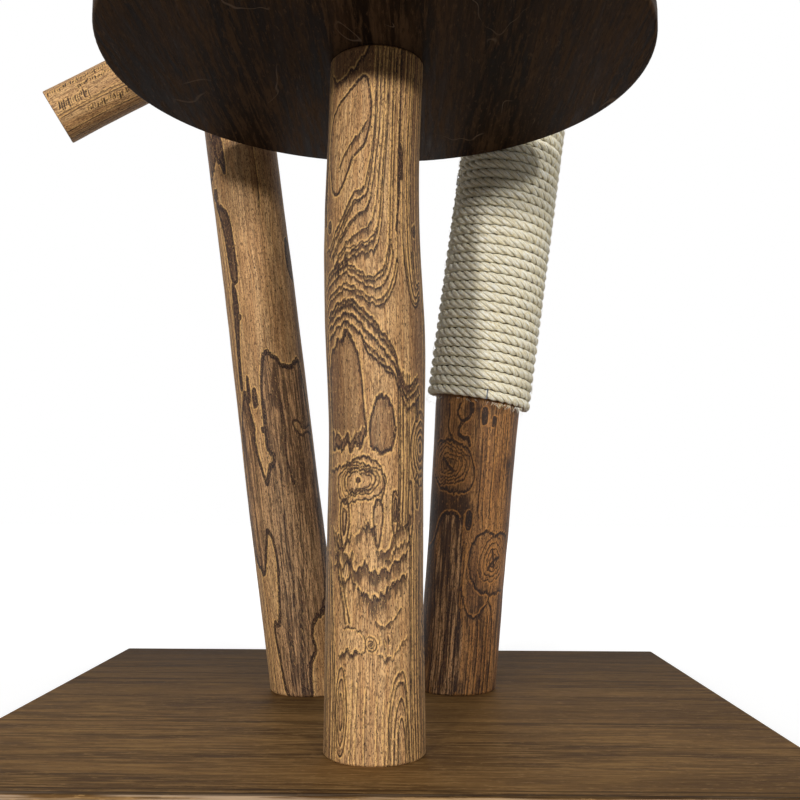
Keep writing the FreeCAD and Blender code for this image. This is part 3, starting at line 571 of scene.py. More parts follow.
class Figure:
    """The numbers that a log's material reads at every vertex."""

    def __init__(self, angles, heights, radius):
        self.angles, self.heights, self.radius = angles, heights, radius
        count = len(angles)
        self.line = np.full(count, FAR)
        self.above = np.full(count, FAR)
        self.fringe = np.full(count, FRINGE_FAR)
        self.heart = np.full(count, -FAR)
        self.tone = np.zeros(count)

    def distance(self, points, reach):
        """Which vertices lie near a line, how far they are from it, on which side, and how level
        the line is there. The numbers u and z are mm round the log and up it."""
        scale = math.radians(1.0) * self.radius
        points = np.array(points, float)
        about = float(points[:, 0].mean())
        u, z = wrap(self.angles - about) * scale, self.heights
        pu, pz = (points[:, 0] - about) * scale, points[:, 1]
        near = np.flatnonzero((u > pu.min() - reach) & (u < pu.max() + reach)
                              & (z > pz.min() - reach) & (z < pz.max() + reach))
        u, z = u[near], z[near]
        least, side, level = np.full(len(near), 1e9), np.ones(len(near)), np.ones(len(near))
        for i in range(0, len(pu) - 1, CHUNK):
            au, az = pu[i:i + CHUNK + 1], pz[i:i + CHUNK + 1]
            inside = np.flatnonzero((u > au.min() - reach) & (u < au.max() + reach)
                                    & (z > az.min() - reach) & (z < az.max() + reach))
            du, dz = np.diff(au), np.diff(az)
            length = np.maximum(du * du + dz * dz, 1e-9)
            a, b = u[inside, None] - au[None, :-1], z[inside, None] - az[None, :-1]
            share = np.clip((a * du + b * dz) / length, 0, 1)
            found = np.hypot(a - share * du, b - share * dz)
            best = found.argmin(axis=1)
            pick = np.arange(len(inside)), best
            closer = found[pick] < least[inside]
            chosen = inside[closer]
            least[chosen] = found[pick][closer]
            side[chosen] = np.sign(du[best] * b[pick] - dz[best] * a[pick])[closer]
            level[chosen] = (np.abs(du) / np.sqrt(length))[best][closer]
        return near, u, z, pu, pz, least, side, level

    def jagged(self, points, teeth):
        """The line in short steps, toothed along the fibres. Lines close together share teeth."""
        scale = math.radians(1.0) * self.radius
        u, z = points[:, 0] * scale, points[:, 1]
        run = np.concatenate([[0], np.cumsum(np.hypot(np.diff(u), np.diff(z)))])
        at = np.linspace(0, run[-1], max(int(run[-1] / 0.8), 8) + 1)
        u, z = np.interp(at, run, u), np.interp(at, run, z)
        lift = teeth * (1.9 * smooth_noise(u / 2.3, z / 22)
                        + 1.3 * smooth_noise(u / 1.1 + 40, z / 12))
        lift = lift + 0.9 * smooth_noise(u / 11, z / 11 + 31)
        return np.stack([(u + 0.5 * smooth_noise(u / 9 + 7, z / 45)) / scale, z + lift], axis=-1)

    def draw(self, points, half_width=0.6, fringe=0.0, teeth=0.5):
        """A dark line with a pale upper or outer side. A fringe darkens the wood on its other side,
        over about that many mm, and teeth make the line jagged along the fibres."""
        points = np.array(points, float)
        closed = len(points) > 2 and np.hypot(*(points[0] - points[-1])) < 1
        if closed:
            area = np.sum(points[:-1, 0] * points[1:, 1] - points[1:, 0] * points[:-1, 1])
            points = points[::-1] if area > 0 else points
        elif points[-1, 0] < points[0, 0]:
            points = points[::-1]
        line = self.jagged(rounded(points, closed), teeth)
        near, u, z, pu, pz, least, side, level = self.distance(line, max(FAR, fringe))
        worn = np.maximum(least - 1.5 * half_width * (0.5 + 0.5 * level) + 0.6, 0)
        self.line[near] = np.minimum(self.line[near], worn)
        over, under = side > 0, side <= 0
        self.above[near[over]] = np.minimum(self.above[near[over]], worn[over])
        if fringe and not closed and np.all(np.diff(points[:, 0]) > 0):
            # Under an open line the fringe hangs down along the fibres.
            drop = np.interp(u, pu, pz) - z
            hung = (drop > 0) & (u > pu[0]) & (u < pu[-1])
            self.fringe[near[hung]] = np.minimum(self.fringe[near[hung]],
                                                 drop[hung] * FRINGE_END / fringe)
        elif fringe:
            deep = least[under] * FRINGE_END / fringe * (3.4 - 2.4 * level[under])
            self.fringe[near[under]] = np.minimum(self.fringe[near[under]], deep)

    def family(self, first, last, count, half_width=0.6, fringe=0.0, teeth=0.5):
        for k, line in enumerate(between(first, last, count)):
            self.draw(line, half_width * (1.0 if k % 2 == 0 else 0.8), fringe, teeth)

    def knot(self, angle, height, sizes, half_width=0.5):
        for half_angle, half_height in sizes:
            self.draw(ring_line(angle, height, half_angle, half_height), half_width)

    def depth(self, points):
        """How far inside an outline the vertices near it lie."""
        points = self.jagged(rounded(np.array(list(points) + [points[0]], float), True), 1.0)
        near, u, z, pu, pz, least, *_ = self.distance(points, FAR)
        pu, pz = np.append(pu, pu[0]), np.append(pz, pz[0])
        inside = np.zeros(len(near), bool)
        for i in range(len(pu) - 1):
            crosses = (pz[i] > z) != (pz[i + 1] > z)
            with np.errstate(divide="ignore", invalid="ignore"):
                at = pu[i] + (z - pz[i]) * (pu[i + 1] - pu[i]) / (pz[i + 1] - pz[i])
            inside ^= crosses & (u < at)
        return near, np.where(inside, np.minimum(least, FAR), -np.minimum(least, FAR))

    def stain(self, points, amount):
        """Darker or paler wood inside an outline."""
        near, depth = self.depth(points)
        self.tone[near] += amount * np.clip(depth + 0.5, 0, 1)

    def fill(self, points, dark=True):
        """Dark wood inside an outline, or pale wood cut out of the dark."""
        near, depth = self.depth(points)
        if dark:
            self.heart[near] = np.maximum(self.heart[near], depth)
        else:
            self.heart[near] = np.minimum(self.heart[near], -depth)

    def shade(self, angle, height, half_width, half_height, amount):
        """A soft patch that is darker, or paler where the amount is negative."""
        u = wrap(self.angles - angle) / half_width
        v = (self.heights - height) / half_height
        self.tone += amount * np.exp(-(u * u + v * v))

    def store(self, obj):
        for name in ("line", "above", "fringe", "heart", "tone"):
            set_numbers(obj, name, getattr(self, name))


def rounded(points, closed=False):
    """The same line with its corners cut twice."""
    for _ in range(2):
        a, b = points[:-1], points[1:]
        middle = np.stack([a * 0.75 + b * 0.25, a * 0.25 + b * 0.75], axis=1).reshape(-1, 2)
        points = (np.concatenate([middle, middle[:1]]) if closed
                  else np.concatenate([points[:1], middle, points[-1:]]))
    return points


def lumpy(line, angle, height):
    """A ring with a few broad lobes."""
    off = line - np.array([angle, height])
    turn = np.arctan2(off[:, 1] * 1.6, off[:, 0])
    swell = (1 + 0.10 * np.sin(2 * turn + 0.9) + 0.07 * np.sin(3 * turn + 2.2)
             + 0.04 * np.sin(5 * turn))
    return np.array([angle, height]) + off * swell[:, None]


def front_figure(f):
    """The peeled front log: nested steps, an arch, an eye-shaped knot and jagged chevrons."""
    def one(points, half_width, fringe=0.0, teeth=0.5):
        f.draw(points, half_width, fringe, teeth)
        f.draw(turned_over(points, FRONT_LOG["height"]), half_width, fringe, teeth)

    def family(first, last, count, half_width, fringe=0.0, teeth=0.5):
        for k, line in enumerate(between(first, last, count)):
            one(line, half_width * (1.0 if k % 2 == 0 else 0.8), fringe, teeth)

    # The pale tongue at the top, and the lines that run down beside it and step out under it.
    one([(-47, 440), (-57, 455), (-62, 480), (-60, 500), (-55, 512), (-38, 522), (-20, 533),
         (-12, 540), (-5, 533), (-1, 505), (-8, 478), (-22, 472), (-32, 452), (-43, 441),
         (-47, 440)], 0.7, 0, 0.7)
    one([(-62, 545), (-50, 535), (-30, 541), (-18, 552), (-6, 562)], 0.5, 10, 1.0)
    one([(-40, 462), (-36, 472), (-24, 484), (-14, 487), (-6, 500)], 0.3, 9, 1.0)
    family([(-60, 396), (-35, 419), (-21, 440), (-10, 443), (-3, 451), (1, 478), (3, 505),
            (3, 562)],
           [(-42, 376), (-28, 389), (-8, 390), (8, 396), (15, 422), (17, 462), (19, 505),
            (20, 562)], 6, 0.3, 8, 1.0)
    family([(-52, 392), (-32, 412), (-18, 432), (-8, 436), (-1, 445)],
           [(-48, 382), (-30, 396), (-12, 398), (5, 404), (12, 422)], 3, 0.22, 0, 0.8)
    family([(24, 562), (25, 500), (24, 450), (22, 400), (20, 386)],
           [(64, 562), (62, 500), (61, 450), (62, 395), (64, 380)], 8, 0.3, 4, 0.5)
    one([(33, 562), (35, 500), (36, 450), (31, 410)], 0.8, 5, 0.5)
    one([(36, 482), (39, 470), (38, 455)], 1.6, 4, 0.6)
    family([(-66, 562), (-64, 530), (-66, 500), (-68, 460), (-66, 420)],
           [(-78, 562), (-77, 530), (-78, 500), (-79, 460), (-76, 420)], 3, 0.5)
    for half_angle, half_height in ((1.2, 1.4), (3.2, 4.2)):
        one(ring_line(-57, 416, half_angle, half_height), 0.6)
        one(ring_line(60, 414, half_angle, half_height), 0.6)
    family([(-62, 376), (-45, 383), (-30, 386), (-15, 378), (0, 370), (10, 374), (19, 388),
            (23, 404)],
           [(-62, 352), (-45, 359), (-30, 364), (-15, 358), (0, 349), (10, 349), (22, 360),
            (32, 384)], 5, 0.25, 6, 0.9)
    family([(40, 396), (42, 370), (47, 354), (55, 350), (64, 358)],
           [(57, 396), (57, 380), (59, 370), (62, 369), (66, 372)], 5, 0.45, 3, 0.5)
    # The arch, whose right end sweeps down and hooks up again.
    family([(-60, 344), (-45, 351), (-30, 355), (-18, 351), (-8, 344), (2, 335), (10, 326),
            (20, 318), (24, 311), (29, 297), (35, 287), (45, 289), (56, 295)],
           [(-60, 326), (-45, 332), (-30, 337), (-18, 331), (-10, 321), (0, 312), (10, 305),
            (20, 300), (26, 290), (32, 277), (40, 269), (50, 273), (62, 281)], 4, 0.5, 7, 1.0)
    family([(-58, 340), (-45, 346), (-30, 350), (-18, 346), (-8, 338), (2, 329), (10, 321),
            (20, 314)],
           [(-58, 333), (-45, 340), (-30, 344), (-18, 339), (-9, 330), (1, 321), (10, 313),
            (20, 306)], 2, 0.1, 0, 0.7)
    one([(-15, 330), (-10, 315), (5, 303), (20, 296)], 0.45, 6, 0.9)
    one([(-38, 322), (-33, 329), (-27, 323)], 1.2, 6, 1.0)
    # The shield and the oval beside it.
    shield = [(-60, 316), (-45, 322), (-33, 325), (-20, 316), (-16, 305), (-14, 290), (-13, 275),
              (-11, 262), (-9, 252), (-12, 243), (-18, 240), (-30, 239), (-45, 240), (-56, 238),
              (-61, 243), (-62, 280), (-60, 316)]
    one(shield, 0.5, 9, 1.8)
    one([(-60, 252), (-52, 247), (-44, 248), (-34, 246), (-24, 247), (-16, 250), (-11, 252)],
        0.0, 9, 2.6)
    oval = [(-6, 250), (-3, 238), (8, 234), (18, 236), (24, 246), (23, 262), (18, 272), (10, 279),
            (2, 276), (-5, 266), (-6, 250)]
    one(oval, 0.6, 8, 1.6)
    family([(27, 300), (27, 262), (29, 222), (28, 176)],
           [(42, 296), (43, 262), (44, 222), (42, 176)], 5, 0.42, 3, 0.4)
    family([(-72, 330), (-70, 262), (-72, 200), (-70, 160)],
           [(-63, 330), (-64, 262), (-65, 200), (-63, 160)], 3, 0.42, 3, 0.4)
    for half_angle, half_height in ((3, 3), (7, 9), (11, 15), (15, 21), (20, 29)):
        one(ring_line(66, 238, half_angle, half_height), 0.4, 4, 0.7)
    for half_angle, half_height in ((4.5, 13), (2, 7)):
        one(ring_line(57, 272, half_angle, half_height), 0.4, 4, 0.8)
        one(ring_line(60, 206, half_angle, half_height), 0.4, 4, 0.8)
    # The eye-shaped knot and the line that wraps over it.
    one([(-64, 220), (-45, 223), (-30, 227), (-16, 231), (-4, 231), (7, 224), (11, 214), (12, 204),
         (8, 197)], 0.45, 4, 0.8)
    for half_angle, half_height, drop, wide in ((14, 7.6, 0, 0.2), (18, 10, 0, 0.4),
                                                (22, 12.4, 0.5, 0.2), (29, 16, 2, 0.3)):
        one(lumpy(ring_line(-19, 213 - drop, half_angle, half_height), -19, 213 - drop),
            wide, 0, 0.7)
    one(ring_line(-19, 214, 1.2, 0.8), 1.0)
    one([(-19.2, 211), (-19, 205)], 0.3)
    for angle, height, half_angle, half_height in ((-36, 183, 7, 17), (-36, 184, 3, 9),
                                                   (5, 184, 5, 15), (25, 190, 4.5, 16),
                                                   (25, 192, 1.8, 8), (47, 190, 4, 22)):
        one(ring_line(angle, height, half_angle, half_height, tip=0.35), 0.45, 6, 1.2)
    # Soft chevrons with long teeth.
    for points, half_width, fringe in (
            ([(-48, 170), (-40, 166), (-33, 163), (-26, 168)], 0.2, 8),
            ([(-20, 173), (-12, 176), (-4, 173), (3, 175)], 0.2, 12),
            ([(-9, 178), (0, 171), (5, 161), (10, 156), (17, 161), (27, 169), (36, 177), (48, 186)],
             0.3, 15),
            ([(-52, 158), (-44, 152), (-38, 146), (-30, 150), (-24, 156)], 0.2, 7),
            ([(-46, 163), (-38, 160), (-33, 155), (-27, 148), (-21, 143), (-12, 149), (-5, 145),
              (2, 141), (11, 144), (20, 145), (30, 150), (42, 161)], 0.35, 18),
            ([(-50, 150), (-42, 141), (-34, 135), (-28, 139), (-20, 132)], 0.2, 9),
            ([(-18, 131), (-8, 127), (2, 123), (10, 125), (17, 131), (28, 134), (42, 144)],
             0.35, 22),
            ([(14, 152), (24, 156), (36, 164), (50, 174)], 0.15, 6)):
        one(points, half_width, fringe, 2.4)
    family([(-56, 176), (-50, 160), (-44, 140), (-38, 122), (-33, 104)],
           [(-50, 172), (-45, 158), (-38, 138), (-32, 120), (-27, 104)], 3, 0.3, 0, 0.5)
    # The pale lobe, the small ring knot and the long ovals at the foot.
    lobe = [(-42, 79), (-43, 92), (-34, 100), (-22, 99), (-12, 98), (-7, 88), (-11, 80), (-17, 84),
             (-23, 79), (-30, 83), (-36, 78), (-42, 79)]
    one(lobe[2:], 0.15, 2, 1.2)
    one([(-42, 80), (-36, 79), (-30, 84), (-23, 80), (-17, 85)], 0.3, 9, 1.6)
    for half_angle, half_height in ((1.0, 0.9), (3.4, 2.6), (6.4, 5.2)):
        one(ring_line(-2, 90, half_angle, half_height), 0.12)
    for angle, height in ((7, 93), (12, 88), (17, 92)):
        one([(angle, height + 3), (angle + 1.0, height - 3)], 0.1, 2)
    for half_angle, half_height in ((8, 32), (5, 24), (2.5, 14)):
        one(ring_line(-38, 38, half_angle, half_height), 0.25, 3, 0.6)
    family([(16, 0), (18, 40), (24, 62), (33, 70), (40, 62), (43, 30), (44, 0)],
           [(28, 0), (28, 20), (30, 30), (33, 36), (36, 30), (38, 16), (38, 0)], 4, 0.3, 5, 0.8)
    family([(47, 0), (46, 60), (46, 120), (46, 168)], [(66, 0), (65, 60), (65, 120), (66, 180)],
           6, 0.42, 3, 0.4)
    family([(-47, 0), (-48, 60), (-52, 100), (-58, 150)],
           [(-68, 0), (-67, 60), (-69, 100), (-70, 160)], 5, 0.42, 3, 0.4)
    family([(-25, 0), (-24, 35), (-22, 62)], [(12, 0), (12, 30), (14, 48)], 5, 0.0, 0, 0.6)
    family([(3, 106), (10, 101), (20, 104), (34, 113)], [(6, 82), (14, 78), (26, 80), (42, 94)],
           2, 0.0, 6, 1.2)

    f.stain(lobe, -0.9)
    for outline in (shield, oval):
        f.stain(outline, 0.7)
        f.stain(turned_over(outline, FRONT_LOG["height"]), 0.7)
    for side in (92, 272):
        f.family([(side - 20, 0), (side - 18, 150), (side - 20, 300), (side - 18, 420),
                  (side - 20, 564)],
                 [(side + 20, 0), (side + 19, 150), (side + 18, 300), (side + 20, 420),
                  (side + 18, 564)], 12, 0.4, 3, 0.4)
    for side, height in ((95, 330), (268, 150), (85, 90), (275, 450)):
        f.knot(side, height, ((3, 2.5), (8, 7), (13, 13), (18, 21)), 0.5)

    # Painted shade among these patches: the lower platform's shadow over the log's top (the patches
    # at 552 and 564 mm) and the log's sides turned from the lamps (at -72 and 72 degrees).
    for angle, height, half_angle, half_height, amount in (
            (-35, 495, 18, 26, -0.5), (38, 468, 6, 12, 0.7), (0, 564, 80, 24, 1.2),
            (-22, 229, 26, 4, -0.6), (-19, 213, 14, 8, -1.1), (25, 338, 16, 18, -0.3),
            (-2, 420, 20, 30, 0.3), (-20, 350, 40, 12, 0.3), (10, 290, 16, 20, 0.3),
            (-10, 20, 14, 40, 0.3), (65, 238, 8, 12, 0.6), (-72, 280, 20, 600, 1.2),
            (72, 280, 24, 600, 1.5), (0, 552, 70, 14, 1.0), (0, 142, 40, 22, 0.15),
            (-10, 400, 40, 30, 0.1)):
        f.shade(angle, height, half_angle, half_height, amount)


def left_figure(f):
    """The left log: pale sapwood over dark heartwood with a dark edge, which ends in tongues."""
    main = [(-9, 300), (-6, 325), (-1, 342), (6, 353), (11, 347), (18, 345), (25, 338), (34, 334),
            (45, 336), (55, 341), (60, 348), (67, 335), (74, 300), (80, 250), (84, 200), (80, 150),
            (70, 98), (45, 82), (35, 78), (27, 72), (22, 60), (27, 48), (20, 38), (13, 25),
            (11, -5), (-27, -5), (-30, 30), (-36, 60), (-33, 75), (-28, 68), (-24, 72), (-20, 90),
            (-18, 110), (-15, 130), (-17, 150), (-20, 163), (-27, 165), (-31, 150), (-35, 135),
            (-42, 120), (-50, 125), (-62, 135), (-70, 160), (-66, 200), (-64, 240), (-60, 270),
            (-50, 290), (-45, 300), (-40, 310), (-36, 300), (-33, 285), (-27, 270), (-30, 262),
            (-27, 240), (-22, 225), (-15, 213), (-12, 225), (-8, 232), (0, 237), (0, 243),
            (-5, 247), (-10, 250), (-9, 262)]
    patches = [main,
               [(-45, 586), (-26, 586), (-25, 560), (-27, 542), (-31, 552), (-40, 560), (-43, 572)],
               [(-57, 520), (-50, 508), (-40, 505), (-28, 495), (-27, 470), (-26, 425), (-36, 422),
                (-40, 440), (-42, 470), (-46, 490), (-52, 503)],
               [(-40, 425), (-34, 415), (-33, 395), (-36, 380), (-40, 360), (-43, 330), (-44, 312),
                (-49, 312), (-47, 340), (-45, 370), (-42, 400)],
               [(65, 460), (72, 482), (84, 470), (84, 430), (72, 438), (66, 445)],
               [(-21, 312), (-18, 308), (-17, 296), (-22, 290), (-25, 300)],
               [(-32, 325), (-29, 318), (-30, 300), (-33, 296)]]
    for patch in patches:
        f.fill(patch)
        f.draw(list(patch) + [patch[0]], 1.5, 6, 1.0)
    for patch in patches[1:]:
        f.stain(patch, 2.0)
    for turn, shift in ((150, 330), (205, 60), (262, 470)):
        patch = [(a * 0.8 + turn, z * 0.9 + shift) for a, z in main]
        f.fill(patch)
        f.draw(patch + [patch[0]], 1.5, 6, 1.0)
    knot = [(35, 278), (45, 281), (52, 272), (62, 272), (80, 278), (80, 266), (62, 268), (50, 264),
            (42, 268), (36, 274)]
    f.fill(knot, dark=False)
    f.draw(knot + [knot[0]], 0.7)
    f.draw([(84, 215), (72, 195), (66, 180), (68, 160), (62, 130), (60, 105), (45, 84)], 1.2)
    f.draw(ring_line(-57, 523, 4, 3.5), 2.6)
    f.draw(ring_line(-31, 387, 1.5, 1.2), 1.2)
    f.draw(ring_line(-13, 268, 1.6, 2.4), 0.7)
    f.family([(32, 0), (40, 30), (52, 60), (66, 90)], [(48, 0), (58, 30), (68, 60), (82, 90)],
             4, 0.6)
    f.draw([(22, 600), (26, 560), (27, 530), (24, 505)], 0.5)
    f.family([(-6, 300), (-4, 240), (-8, 160), (-12, 60), (-18, 0)],
             [(52, 326), (54, 250), (48, 160), (20, 80), (8, 0)], 9, 0.2, 0, 0.6)
    f.draw([(20, 300), (22, 270), (18, 240), (24, 214)], 0.8, 4, 0.8)
    f.draw([(4, 180), (2, 150), (6, 120), (2, 90)], 0.7, 4, 0.8)
    for side in (95, 250, 300):
        f.family([(side - 12, 0), (side - 10, 300), (side - 14, 600), (side - 12, 850)],
                 [(side + 12, 0), (side + 14, 300), (side + 10, 600), (side + 12, 850)], 4, 0.45)
    # Painted shade among these patches: the lower platform's shadow darkens the log's top (the
    # patch about 640 mm high).
    for angle, height, half_angle, half_height, amount in (
            (0, 500, 300, 900, 0.2), (0, 640, 300, 90, 0.8), (0, 420, 25, 70, -0.4),
            (-35, 40, 14, 60, -0.3), (45, 20, 15, 30, -0.3), (-70, 300, 14, 400, 0.4),
            (75, 300, 14, 400, 0.5), (10, 140, 40, 90, -1.4), (-20, 240, 8, 30, -0.5),
            (-23, 110, 6, 40, -0.4), (-60, 275, 14, 16, 0.8), (38, 420, 7, 60, 0.4)):
        f.shade(angle, height, half_angle, half_height, amount)


def right_figure(f):
    """The right log below the rope: darker wood with two large ringed knots."""
    dark = [(-38, 182), (-28, 184), (-14, 178), (-12, 160), (-10, 130), (-8, 110), (-14, 100),
            (-5, 80), (0, 60), (0, -5), (-45, -5), (-48, 60), (-52, 100), (-50, 140), (-45, 165)]
    f.fill(dark)
    for angle, height, half_angle, half_height in ((7, 284, 2.6, 8), (21, 279, 1.4, 4),
                                                   (-4, 176, 3.0, 8)):
        oval = ring_line(angle, height, half_angle, half_height)
        f.draw(oval, 1.5)
        f.draw([(angle, height - half_height), (angle, height + half_height)], 1.6)
    for half_angle, half_height in ((9, 8), (14, 12), (19, 17), (24, 21), (28, 25)):
        f.draw(lumpy(ring_line(-40, 235, half_angle, half_height, lean=-0.2), -40, 235),
               0.25, 2, 0.8)
    f.draw([(-50, 241), (-46, 239), (-40, 234), (-32, 228)], 0.9)
    f.draw([(-64, 258), (-40, 262), (-25, 256), (-12, 250), (-4, 238), (0, 222), (-4, 211),
            (-14, 205), (-30, 206), (-50, 208), (-64, 220)], 0.5, 6, 1.0)
    f.draw([(-12, 298), (-10, 285), (-18, 280), (-26, 275), (-28, 265), (-20, 260), (-14, 262),
            (-10, 253)], 1.2)
    f.draw([(-11, 298), (-10, 288)], 2.6)
    f.draw([(-44, 298), (-42, 285), (-46, 275), (-36, 262)], 0.8)
    f.draw([(-26, 298), (-31, 286), (-24, 280)], 0.8)
    for half_angle, half_height in ((6, 7), (11, 13), (16, 19), (22, 25)):
        f.draw(lumpy(ring_line(38, 135, half_angle, half_height), 38, 135), 0.25, 2, 0.8)
    for crack in ([(29, 126), (34, 132), (40, 136), (47, 138)], [(35, 146), (38, 136), (39, 127)]):
        f.draw(crack, 0.8)
    f.draw([(66, 160), (50, 163), (34, 161), (18, 166), (8, 160), (2, 150), (0, 135), (3, 120),
            (10, 108), (20, 102), (34, 100), (50, 102), (64, 105)], 0.6, 6, 1.0)
    f.draw([(-12, 180), (-14, 160), (-12, 140), (-10, 120), (-12, 112), (-6, 100), (0, 88), (8, 78),
            (16, 77), (24, 84), (34, 90), (36, 110)], 0.5, 6, 1.0)
    f.draw([(-84, 146), (-66, 150), (-55, 160), (-50, 178), (-38, 184), (-28, 185), (-20, 180)],
           1.2)
    f.draw([(-52, 140), (-53, 110), (-46, 80), (-45, 40), (-46, 0)], 0.8)
    f.draw([(36, 92), (44, 80), (48, 40), (46, 0)], 0.9)
    f.family([(-40, 150), (-38, 100), (-36, 50), (-38, 0)],
             [(-6, 150), (-8, 100), (-6, 50), (-6, 0)], 6, 0.45)
    f.family([(8, 70), (10, 40), (8, 0)], [(36, 80), (38, 40), (38, 0)], 5, 0.4)
    f.family([(6, 268), (8, 230), (6, 190), (10, 170)],
             [(44, 290), (46, 240), (44, 200), (46, 168)], 5, 0.35)
    for turn in (95, 150, 205, 262):
        f.family([(turn - 18, 0), (turn - 16, 100), (turn - 20, 200), (turn - 18, 298)],
                 [(turn + 18, 0), (turn + 20, 100), (turn + 16, 200), (turn + 18, 298)], 6, 0.5)
    for turn, height in ((110, 190), (175, 90), (232, 220)):
        f.knot(turn, height, ((5, 5), (10, 10), (15, 16), (21, 23)), 0.55)
    for angle, height, half_angle, half_height, amount in (
            (-40, 235, 7, 6, 1.6), (-40, 235, 26, 24, -0.9), (38, 135, 7, 9, 1.4),
            (36, 135, 24, 26, -0.9), (50, 235, 8, 9, 0.8), (-42, 40, 3, 45, -0.8),
            (15, 25, 5, 40, -0.7), (-30, 188, 30, 22, 1.5), (66, 150, 12, 200, 0.7),
            (-70, 150, 16, 200, 0.9), (18, 215, 14, 50, -0.6), (-32, 60, 30, 70, 0.7),
            (28, 60, 14, 40, 0.5), (-4, 176, 8, 12, 0.8), (0, 8, 90, 12, 0.5),
            (16, 292, 40, 8, 0.5)):
        f.shade(angle, height, half_angle, half_height, amount)


def branch_figure(f):
    """The branch, with its angles from the top towards the front and its heights from its root:
    rows of short dark dashes."""
    rng = np.random.default_rng(11)
    for angle, start, end, length in ((58, 120, 206, 9), (97, 168, 202, 15), (128, 96, 178, 8),
                                      (76, 110, 176, 5), (205, 60, 190, 8), (292, 90, 200, 8)):
        for height in np.arange(start, end, 2.6):
            middle = angle + rng.normal(0, 2.0)
            half = length * rng.uniform(0.15, 0.6)
            slant = rng.uniform(0.2, 0.7)
            f.draw([(middle - half, height - slant), (middle + half, height + slant)],
                   0.5 * rng.random(), 0, 0.2)
        f.shade(angle, (start + end) / 2, length * 0.7, (end - start) * 0.5, 0.45)
    for angle in (20, 40, 112, 118, 150, 170, 190, 240, 260, 320, 340):
        f.draw([(angle, 30), (angle + 3, 90), (angle - 2, 150), (angle + 1, 209)], 0.25)
    f.shade(97, 190, 14, 22, 0.3)
    f.shade(175, 150, 40, 90, 0.6)
    f.shade(80, 150, 60, 90, -0.55)


def sawn_end(f, end, radius, turn):
    """Growth rings and two short cracks on the branch's free end."""
    rng = np.random.default_rng(5)
    rings = np.cumsum(rng.uniform(1.3, 3.2, 14))
    r, a = radius[end], turn[end]
    r = r * (1 + 0.05 * np.sin(a + 0.6) + 0.03 * np.sin(2 * a + 1.9) + 0.012 * np.sin(5 * a))
    apart = r[:, None] - rings[None, :]
    f.line[end] = np.abs(apart).min(axis=1) + 0.45
    f.above[end] = FAR
    f.fringe[end] = np.where(apart < 0, -apart, FAR).min(axis=1) * 3.0
    f.heart[end] = -FAR
    f.tone[end] = 0.55 + 0.5 * (r < 5) + 0.35 * (radius[end] > 25.5)
    for angle, reach in ((0.7, 17.0), (-1.9, 12.0)):
        off = np.abs(radius[end] * np.sin(a - angle))
        inside = (np.cos(a - angle) > 0) & (radius[end] < reach)
        width = off + 0.8 * radius[end] / reach
        f.line[end] = np.where(inside, np.minimum(f.line[end], width), f.line[end])


# ---- Materials -------------------------------------------------------------------------------


def board_material(name, grain, dark, light, worn):
    """Dark stained board. grain is the axis along the fibres."""
    n = Nodes(bpy.data.materials.new(name))
    place = n.object_place()
    along = {"x": lambda a, b: (a, b, b), "y": lambda a, b: (b, a, b)}[grain]
    fibres = n.noise(n.scaled(place, along(14.0, 240.0)), 1.0, 5.0, 0.65, 0.3)
    bands = n.noise(n.scaled(place, along(3.0, 42.0)), 1.0, 4.0, 0.6, 0.6)
    flecks = n.noise(n.scaled(place, along(90.0, 420.0)), 1.0, 3.0, 0.7)
    patches = n.noise(n.scaled(place, along(4.0, 9.0)), 1.0, 3.0, 0.5)
    base = n.mix(n.spread(bands, 0.38, 0.62), dark, light)
    base = n.over(base, worn, n.spread(fibres, 0.46, 0.62), 0.6)
    base = n.over(base, dark, n.spread(patches, 0.48, 0.68), 0.5)
    base = n.over(base, worn, n.spread(flecks, 0.56, 0.68), 0.55)
    base = n.over(base, dark, n.spread(flecks, 0.44, 0.34), 0.55)
    height = n.math("ADD", n.math("MULTIPLY", fibres, 0.7), n.math("MULTIPLY", flecks, 0.4))
    rough = n.spread(fibres, 0.3, 0.7, 0.5, 0.72, smooth=False)
    return n, place, base, rough, n.bump(height, 0.0009, 0.5)


def stained_board():
    n, place, base, rough, normal = board_material(
        "stained_board", "x", colour(92, 66, 38), colour(138, 103, 60), colour(178, 139, 88))
    x, y, z = n.parts(place)
    # Two long seams, painted shade that darkens the board towards the back, painted light that
    # makes the front face paler, and painted shade on the front arris.
    seams = n.math("ABSOLUTE", n.math("SUBTRACT", n.math("FRACT", n.math("MULTIPLY", y, 5.2)), 0.5))
    base = n.over(base, colour(44, 32, 23), n.spread(seams, 0.012, 0.004), 0.6)
    # Painted shade: the board darkens towards the back, where the platforms shade it.
    base = n.over(base, colour(52, 38, 27), n.spread(y, -0.16, 0.26), 0.68)
    # Painted light: the front face, which faces the lamps, is painted paler in streaks.
    streaks = n.noise(n.scaled(place, (7.0, 300.0, 300.0)), 1.0, 4.0, 0.6)
    front = n.spread(y, -0.2966, -0.2974)
    base = n.over(base, colour(176, 150, 122),
                  n.math("MULTIPLY", n.spread(streaks, 0.4, 0.58), front), 0.8)
    # Painted shade on the rounded front arris, which turns away from the lamps.
    arris_shade = n.math("MULTIPLY", n.spread(y, -0.2952, -0.2960), n.spread(z, 0.0236, 0.0242))
    base = n.over(base, colour(44, 32, 24), arris_shade, 0.7)
    return n.finish(base, rough, normal, Specular_IOR_Level=0.02)


def stained_platform():
    n, place, base, rough, normal = board_material(
        "stained_platform", "y", colour(30, 20, 13), colour(62, 44, 29), colour(98, 74, 52))
    # Long thin pale scratches.
    wave = n.noise(n.scaled(place, (1.0, 0.55, 1.0)), 6.5, 3.0, 0.5, 0.9)
    scratch = n.spread(n.math("ABSOLUTE", n.math("SUBTRACT", wave, 0.54)), 0.003, 0.0006)
    scratch = n.math("MULTIPLY", scratch, n.spread(n.noise(place, 19.0, 2.0, 0.5), 0.5, 0.58))
    base = n.over(base, colour(124, 104, 86), scratch, 0.7)
    return n.finish(base, rough, normal, Specular_IOR_Level=0.03)


